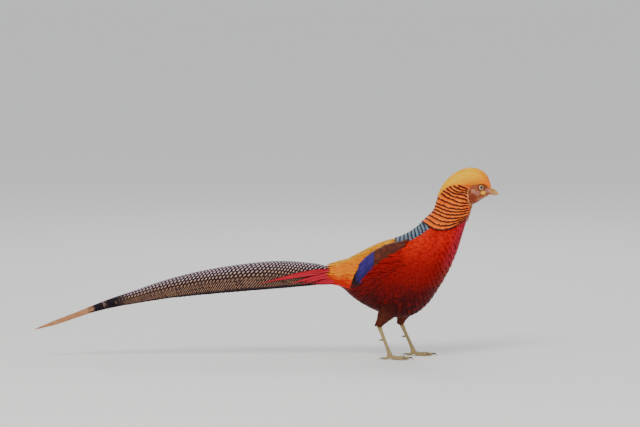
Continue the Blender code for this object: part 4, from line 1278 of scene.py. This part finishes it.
tailMake = {
    # station of the tip, reach from the ridge as shares of the roof's side, at its root and farthest
    "pairs": ((10.0, -.06, .66), (9.3, .20, .74), (8.5, .28, .82), (7.6, .36, .88), (6.9, .42, .93),
              (5.8, .54, .98), (4.9, .58, .99), (4.2, .62, 1.0)),
    "start": -.03, "layer": .0008, "sunk": .0045, "narrow": .010, "arch": .0007,
}
spearMake = {
    # where round the roof each starts and ends, its tip's station, half width
    "spears": ((.42, .84, 2.35, .0054), (.50, .80, 1.85, .0040), (.57, .90, 1.42, .0040), (.63, .93, 1.02, .0038),
               (.68, .86, .98, .0032), (.73, .95, .66, .0034), (.79, .97, .52, .0034), (.86, .99, .38, .0032),
               (.46, .62, .62, .0030)),
    "start": -.36, "rise": .0010, "step": .0005,
}
spearShape = (.6, .9, 1.0, 1.0, .92, .78, .55, .28, .04)


def roofSide(s):
    row = tailRow(s)
    return np.hypot(row[..., 4], row[..., 1] - row[..., 3]) * 1.11


def tailChart(s, f):
    # metres along the tail, metres round it from the ridge, and that as a share of the way to its edge
    return s * tailShape["station"], np.abs(f) * roofSide(s), np.abs(f)


def buildTail():
    make = tailMake
    rows, columns = 150, 11
    for side in sideNames:
        coat = Coat()
        for number, (tip, near, far) in enumerate(make["pairs"]):
            s = np.linspace(make["start"], tip, rows)
            t = (s - make["start"]) / (tip - make["start"])
            reach = np.interp(t, (0, .45, .85), (far, far, 1.0))
            taper = np.interp(t, (0, .06, .78, .93, .98, 1), (.4, 1, 1, .80, .50, .10))
            narrow = np.minimum(1, tailRow(s)[:, 4] / make["narrow"])
            layer = number + (1 if number or side == leftSide else .35)
            sunk = make["sunk"] * np.maximum(0, 1 - (s - make["start"]) / .5)
            depth = np.maximum(layer * make["layer"] * narrow, sunk)
            splits = 1 + .03 * np.sin(s * 31 + number) * np.sin(s * 77 + 2 * number) + rng.normal(0, .012, rows)
            middle, half = (near + reach) / 2, (reach - near) / 2 * taper * splits
            line = np.stack((s, side * middle))[:, None, :]
            course = line, np.stack((s * 0, s * 0 + 1))[:, None, :]
            coat.add(tailRoof, s[:1], s[:1], 0, 1, lambda t, aa, bb: -depth[None, :, None], half, columns=columns,
                     camber=make["arch"], thick=.0005, tone=np.array([number / 8]), unwrap=tailUnwrap,
                     course=course, chart=tailChart)
        nodes = ["tail"] if side == rightSide else []
        coat.build("tail_" + sideNames[side] + "_feathers", tailVanes, "tail_brown", *nodes)


def buildTailRoot():
    # the fleshy root inside the feathers
    rows = []
    for s in np.linspace(-.3, .50, 12):
        size = np.interp(s, (-.3, .2, .50), (1, 1, .55))
        ring = tailRoof.at(np.full(25, s), np.linspace(-1, 1, 25), -.0030)
        middle = ring.mean(0)
        under = ring[-1] + (ring[0] - ring[-1]) * np.linspace(0, 1, 9)[1:-1, None]
        under[:, 2] -= .0035 * np.sin(np.linspace(0, math.pi, 9)[1:-1])
        rows.append(middle + (np.concatenate((ring, under)) - middle) * size)
    points = cappedPoints(np.array(rows))
    place = np.zeros((len(points), 3)) + (2.4, 3.0, 0)
    piece = shapeMesh("tailRoot", points, tubeTriangles(*np.shape(rows)[:2])[:, ::-1],
                      {"lie": place * 0, "place": place},
                      np.stack((.1 + points[:, 0], .4 + points[:, 2]), -1), redSkin)
    settle(piece, "coverts_scarlet")


def buildSpears():
    make = spearMake
    coat = Coat()
    rows = len(spearShape)
    for side in sideNames:
        for number, (start, end, tip, half) in enumerate(sorted(make["spears"], key=lambda one: -one[2])):
            s = np.linspace(make["start"], tip, rows)
            f = side * (start + (end - start) * np.linspace(0, 1, rows) + .02 * np.sin(np.linspace(0, 3, rows)))
            around = np.linalg.norm(tailRoof.slopes(s, f)[1], axis=-1)
            course = np.stack((s, f))[:, None, :], np.stack((s * 0, 1 / around))[:, None, :]
            low = make["rise"] + make["step"] * number
            coat.add(tailRoof, s[:1], f[:1], 0, half, lambda t, aa, bb: low + 0 * aa, spearShape, columns=5,
                     camber=.0008, thick=.0004, unwrap=tailUnwrap, course=course)
    coat.build("covertSpears", spearVanes, "coverts_scarlet")


# Eyes, bill, legs and the small feathers of face and thighs


def buildEyes():
    rows, sides = 36, 48
    for side, (centre, outward) in eyes.items():
        first = unit(np.cross(outward, (0, 0, 1.0)))
        second = np.cross(outward, first)
        turns = np.linspace(0, fullTurn, sides, endpoint=False)
        a, b = np.meshgrid(np.linspace(0, math.pi, rows), turns, indexing="ij")
        out = (outward * np.cos(a)[..., None] + first * (np.sin(a) * np.cos(b))[..., None]
               + second * (np.sin(a) * np.sin(b))[..., None])
        swell = 1 + .05 * np.exp(-(a / .5) ** 2)        # the cornea
        points = (centre + out * (faceShape["eyeRadius"] * swell)[..., None]).reshape(-1, 3)
        marks = np.stack((a, b, a * 0), -1).reshape(-1, 3)
        flat = np.stack((.5 + .15 * a * np.cos(b), .5 + .15 * a * np.sin(b)), -1).reshape(-1, 2)
        triangles = gridTriangles(rows, sides, True)
        piece = shapeMesh("eyeball_" + sideNames[side], points, triangles[:, ::-1], {"lie": marks}, flat, eyeGloss)
        settle(piece, "eye_cream", "eye_" + sideNames[side])


billShape = {
    # top x, z, lower edge x, z, half width, from inside the head to the tip
    "upper": np.array([(.4800, .3674, .4790, .3568, .0062), (.4838, .3667, .4818, .3566, .0058),
                       (.4885, .3655, .4872, .3563, .0052), (.4930, .3632, .4918, .3556, .0042),
                       (.4968, .3598, .4956, .3545, .0029), (.4996, .3560, .4988, .3530, .0016),
                       (.5007, .3533, .5003, .3522, .0005)]),
    "lower": np.array([(.4790, .3562, .4785, .3524, .0054), (.4825, .3560, .4825, .3521, .0050),
                       (.4880, .3557, .4880, .3516, .0044), (.4920, .3550, .4922, .3514, .0035),
                       (.4956, .3540, .4960, .3512, .0022), (.4980, .3524, .4982, .3511, .0008)]),
    "nostril": (.4878, .3618), "nostrilSize": (.0021, .0009),
}


def buildBill():
    rows, sides = 70, 48
    for half, way in (("upper", 1), ("lower", -1)):
        table = billShape[half]
        row = smoothRows(table)(np.linspace(0, len(table) - 1, rows))[:, None, :]
        angle = np.linspace(0, fullTurn, sides, endpoint=False)[None]
        rise = np.cos(angle)
        # each half is flat where the two meet
        flatten = np.where(rise * way < 0, -way * np.abs(rise) ** .55, way * np.abs(rise))
        x = (row[..., 0] + row[..., 2]) / 2 + flatten * (row[..., 0] - row[..., 2]) / 2
        z = (row[..., 1] + row[..., 3]) / 2 + flatten * (row[..., 1] - row[..., 3]) / 2
        y = row[..., 4] * np.sign(np.sin(angle)) * np.abs(np.sin(angle)) ** .9
        points = np.stack(np.broadcast_arrays(x, y, z), -1)
        hole = 0 * x
        if half == "upper":
            dx = (x - billShape["nostril"][0]) / billShape["nostrilSize"][0]
            dz = (z - billShape["nostril"][1] + .25 * (x - billShape["nostril"][0])) / billShape["nostrilSize"][1]
            hole = np.exp(-(dx ** 2 + dz ** 2) ** 2)
            flap = np.exp(-((dx / 1.25) ** 2 + ((dz - 1.5) / 1.1) ** 2) ** 2)
            points[..., 1] *= 1 - .26 * hole + .10 * flap
        points[..., 1] *= 1 + .04 * np.exp(-((flatten + .8 * way) / .12) ** 2)      # the lip
        run = np.linspace(0, 1, rows)[:, None]
        marks = np.stack(np.broadcast_arrays(run, flatten, hole), -1)
        flat = np.stack(np.broadcast_arrays(.05 + .9 * run, angle / 7), -1)
        piece = shapeMesh("horn_" + half, cappedPoints(points), tubeTriangles(rows, sides), {"lie": capped(marks)},
                          capped(flat), billHorn)
        settle(piece, "bill_horn", "bill_" + half)


def tube(points, radii, rows, sides, upright, detail=None, kind=0.0):
    # a closed round limb through points, with scales worked into it
    table = np.column_stack((np.array(points, float), radii))
    at = smoothRows(table)
    number = np.linspace(0, len(table) - 1, rows)
    row = at(number)
    course = unit(at(number + .01)[:, :3] - at(number - .01)[:, :3])
    second = unit(np.cross(course, upright))
    first = np.cross(second, course)
    b = np.linspace(0, fullTurn, sides, endpoint=False)
    run = runAlong(row[:, :3])
    size = np.maximum(row[:, 3:], .0003) + (detail(run[:, None], b[None]) if detail else 0)
    ring = (row[:, None, :3] + size[..., None] * (first[:, None] * np.cos(b)[None, :, None]
                                                  + second[:, None] * np.sin(b)[None, :, None]))
    marks = np.stack(np.broadcast_arrays(run[:, None], b[None], kind), -1)
    return cappedPoints(ring), tubeTriangles(rows, sides), capped(marks)


def joinTubes(name, tubes, finish, slot, *nodes):
    points, triangles, marks, flat = joinParts([
        (*limb, np.stack((.02 + .12 * number + .015 * limb[2][:, 1], .05 + 8 * limb[2][:, 0]), -1))
        for number, limb in enumerate(tubes)])
    settle(shapeMesh(name, points, triangles, {"lie": marks}, flat, finish), slot, *nodes)


def shankScales(run, b):
    # broad scutes down the front, small ones behind
    front = fade(np.cos(b), -.2, .2)
    saw = (run / scutes) % 1
    small = np.sin(run / .0022 * math.pi) * np.sin(b * 7)
    return .00034 * front * (1 - saw ** 3) * (np.cos(b) * .4 + .6) + .00012 * (1 - front) * small


def toeScales(run, b):
    top = fade(np.cos(b), .1, .5)
    saw = (run / toeScutes) % 1
    pads = np.maximum(0, np.sin(run / .0095 * fullTurn)) * fade(-np.cos(b), .2, .8)
    return .00026 * top * (1 - saw ** 3) + .0004 * pads


def buildLeg(side):
    name = sideNames[side]
    heel, foot = np.array(legShape["heel"][side]), np.array(legShape["foot"][side], float)
    down = foot + (0, 0, legShape["ankle"]) - heel
    shank = [heel + down * share for share in legShape["shankShares"]]
    limbs = [tube(shank, legShape["shankRadii"], 110, 36, (1, 0, .2), shankScales)]
    spur = [heel + down * .50 + (-.002, 0, 0), heel + down * .53 + (-.008, 0, 0), heel + down * .50 + (-.0125, 0, 0)]
    limbs.append(tube(spur, (.0026, .0017, .0004), 16, 14, (0, 0, 1), kind=1.0))
    limbs.append(tube([foot + (0, 0, .0142), foot + (0, 0, .0085), foot + (0, 0, .0030)], (.0043, .0054, .0040), 20, 28,
                      (1, 0, 0), toeScales))
    claws = []
    for degrees, length, radius in legShape["toes"]:
        turn = math.radians(degrees)
        ahead = np.array((math.cos(turn), side * math.sin(turn), 0))
        pad = radius - .0004
        spots = [foot + (0, 0, .0072), foot + ahead * length * .28 + (0, 0, pad + .0012),
                 foot + ahead * length * .55 + (0, 0, pad), foot + ahead * length * .88 + (0, 0, pad),
                 foot + ahead * length * 1.0 + (0, 0, pad + .0004)]
        radii = (radius, radius, radius * .96, radius * .88, radius * .55)
        limbs.append(tube(spots, radii, 60, 24, (0, 0, 1), toeScales))
        nail = legShape["claw"]
        claws.append(tube([foot + ahead * length * .96 + (0, 0, pad + .0008),
                           foot + ahead * (length + nail * .40) + (0, 0, pad + .0010),
                           foot + ahead * (length + nail * .75) + (0, 0, pad * .6 + .0004),
                           foot + ahead * (length + nail) + (0, 0, .0006)],
                          (radius * .50, radius * .42, radius * .26, .0003), 24, 16, (0, 0, 1), kind=1.0))
    for points, _, _ in limbs + claws:
        points[:, 2] = np.maximum(points[:, 2], .0001)
    joinTubes("leg_" + name, limbs, legHorn, "leg_horn", "shank_" + name, "foot_" + name)
    joinTubes("claws_" + name, claws, clawHorn, "leg_horn")


def buildThighCoat(side):
    lie = thighLie(side)
    coat = Coat()
    for number, a in enumerate(np.linspace(.12, .97, 24)):
        radius = np.interp(a, legShape["thighShares"], legShape["thighRadii"])
        count = max(int(fullTurn * radius / .0036), 8)
        b = (np.arange(count) + .5 * (number % 2) + rng.normal(0, .1, count)) / count * fullTurn
        length = np.interp(a, (.1, .7, .97), (.022, .016, .008)) * rng.uniform(.75, 1.2, count)
        rise = np.interp(a, (.1, .6, .97), (.0024, .0016, .0006))
        coat.add(lie, np.full(count, a), b, length, np.interp(a, (.1, 1), (.0028, .0016)),
                 (-.0016, -.0004, rise * .6, rise), plumeShape, heading=rng.normal(0, .22, count),
                 unwrap=thighUnwrap(side))
    coat.build("thigh_" + sideNames[side] + "_coat", chestnutDown, "thigh_chestnut")


faceMake = {"rowStep": .0014, "step": .0016, "length": .0040, "half": .0009, "lift": (-.0012, -.0004, .0002, .0005)}


def buildFaceCoat():
    make = faceMake
    coat = Coat()
    u, v = tiers(body, 15.9, 12.5, make["rowStep"], make["step"], .6)
    points = body.point(u, v)
    keep = (faceShare(points) > .3) & (eyeDistance(points) > .0086) & (np.abs(v) > crestEdge(u) * crestShape["seen"])
    keep &= (spotShare(points, faceShape["wattle"], faceShape["wattleSize"]) == 0)
    keep &= (lineDistance(points, faceShape["mouth"]) > .0016) & (u < 15.75)
    a, b = u[keep], v[keep]
    n = len(a)
    coat.add(body, a, b, make["length"] * rng.uniform(.7, 1.2, n), make["half"], make["lift"], scaleShape[1:],
             heading=rng.normal(0, .15, n), camber=.0001, thick=.00012)
    # the pale line down the cheek's rear edge
    for side in sideNames:
        z = np.linspace(.3300, .3690, 44)
        spots = [body.find(np.interp(one, *faceShape["edge"]) - rng.uniform(0, .0012), one, side) for one in z]
        a, b = np.array(spots).T
        coat.add(body, a, b, rng.uniform(.0045, .0065, len(z)), .0008, (-.0006, .0012, .0022, .0024), scaleShape[1:],
                 toward=(-.25, 0, -1), camber=.0002, thick=.00015, group=1.0)
    coat.build("faceCoat", faceDown, "face_tan")


for side in sideNames:
    buildWing(side)
buildFlanks()
buildTail()
buildTailRoot()
buildSpears()
print("wings and tail made")
buildEyes()
buildBill()
for side in sideNames:
    buildLeg(side)
    buildThighCoat(side)
buildFaceCoat()
print("head and legs made")


# Floor, lights and camera

view = {"aim": (.1161, 0, .3119), "distance": 7.0, "lens": 183.0, "elevation": 5.0}


def buildStage():
    bpy.ops.mesh.primitive_plane_add(size=400, location=(0, 0, 0))
    floor = bpy.context.object
    floor.name = "floor"
    floor.data.materials.append(Finish("paleFloor").done((.93, .92, .90), .9))
    world = bpy.data.worlds.new("softRoom")
    bpy.context.scene.world = world
    world.use_nodes = True
    world.node_tree.nodes["Background"].inputs["Color"].default_value = (.95, .97, 1, 1)
    world.node_tree.nodes["Background"].inputs["Strength"].default_value = .76
    # name, place, size, power, colour
    for name, place, size, power, colour in (
        ("key", (-.7, -2.2, 3.0), 1.3, 62, (1, .97, .93)),
        ("fill", (2.4, -2.0, 1.2), 2.0, 14, (.95, .97, 1)),
        ("rim", (.3, 2.6, 2.6), 1.6, 24, (1, .98, .95)),
    ):
        lamp = bpy.data.lights.new(name, "AREA")
        lamp.size, lamp.energy, lamp.color = size, power, colour
        stand = bpy.data.objects.new(name, lamp)
        stand.location = place
        aim = np.array((.1, 0, .2)) - np.array(place)
        stand.rotation_euler = turnAlong(aim)
        bpy.context.scene.collection.objects.link(stand)
    camera = bpy.data.cameras.new("camera")
    camera.lens = view["lens"]
    camera.clip_end = 60
    stand = bpy.data.objects.new("camera", camera)
    rise = math.radians(view["elevation"])
    off = np.array((0, -math.cos(rise), math.sin(rise))) * view["distance"]
    stand.location = np.array(view["aim"]) + off
    stand.rotation_euler = turnAlong(-off)
    bpy.context.scene.collection.objects.link(stand)
    bpy.context.scene.camera = stand


def turnAlong(course):
    # the turn that points a lamp or camera along a course
    flat = math.hypot(course[0], course[1])
    return math.atan2(flat, -course[2]), 0, math.atan2(-course[0], course[1])


buildStage()
print("scene made")
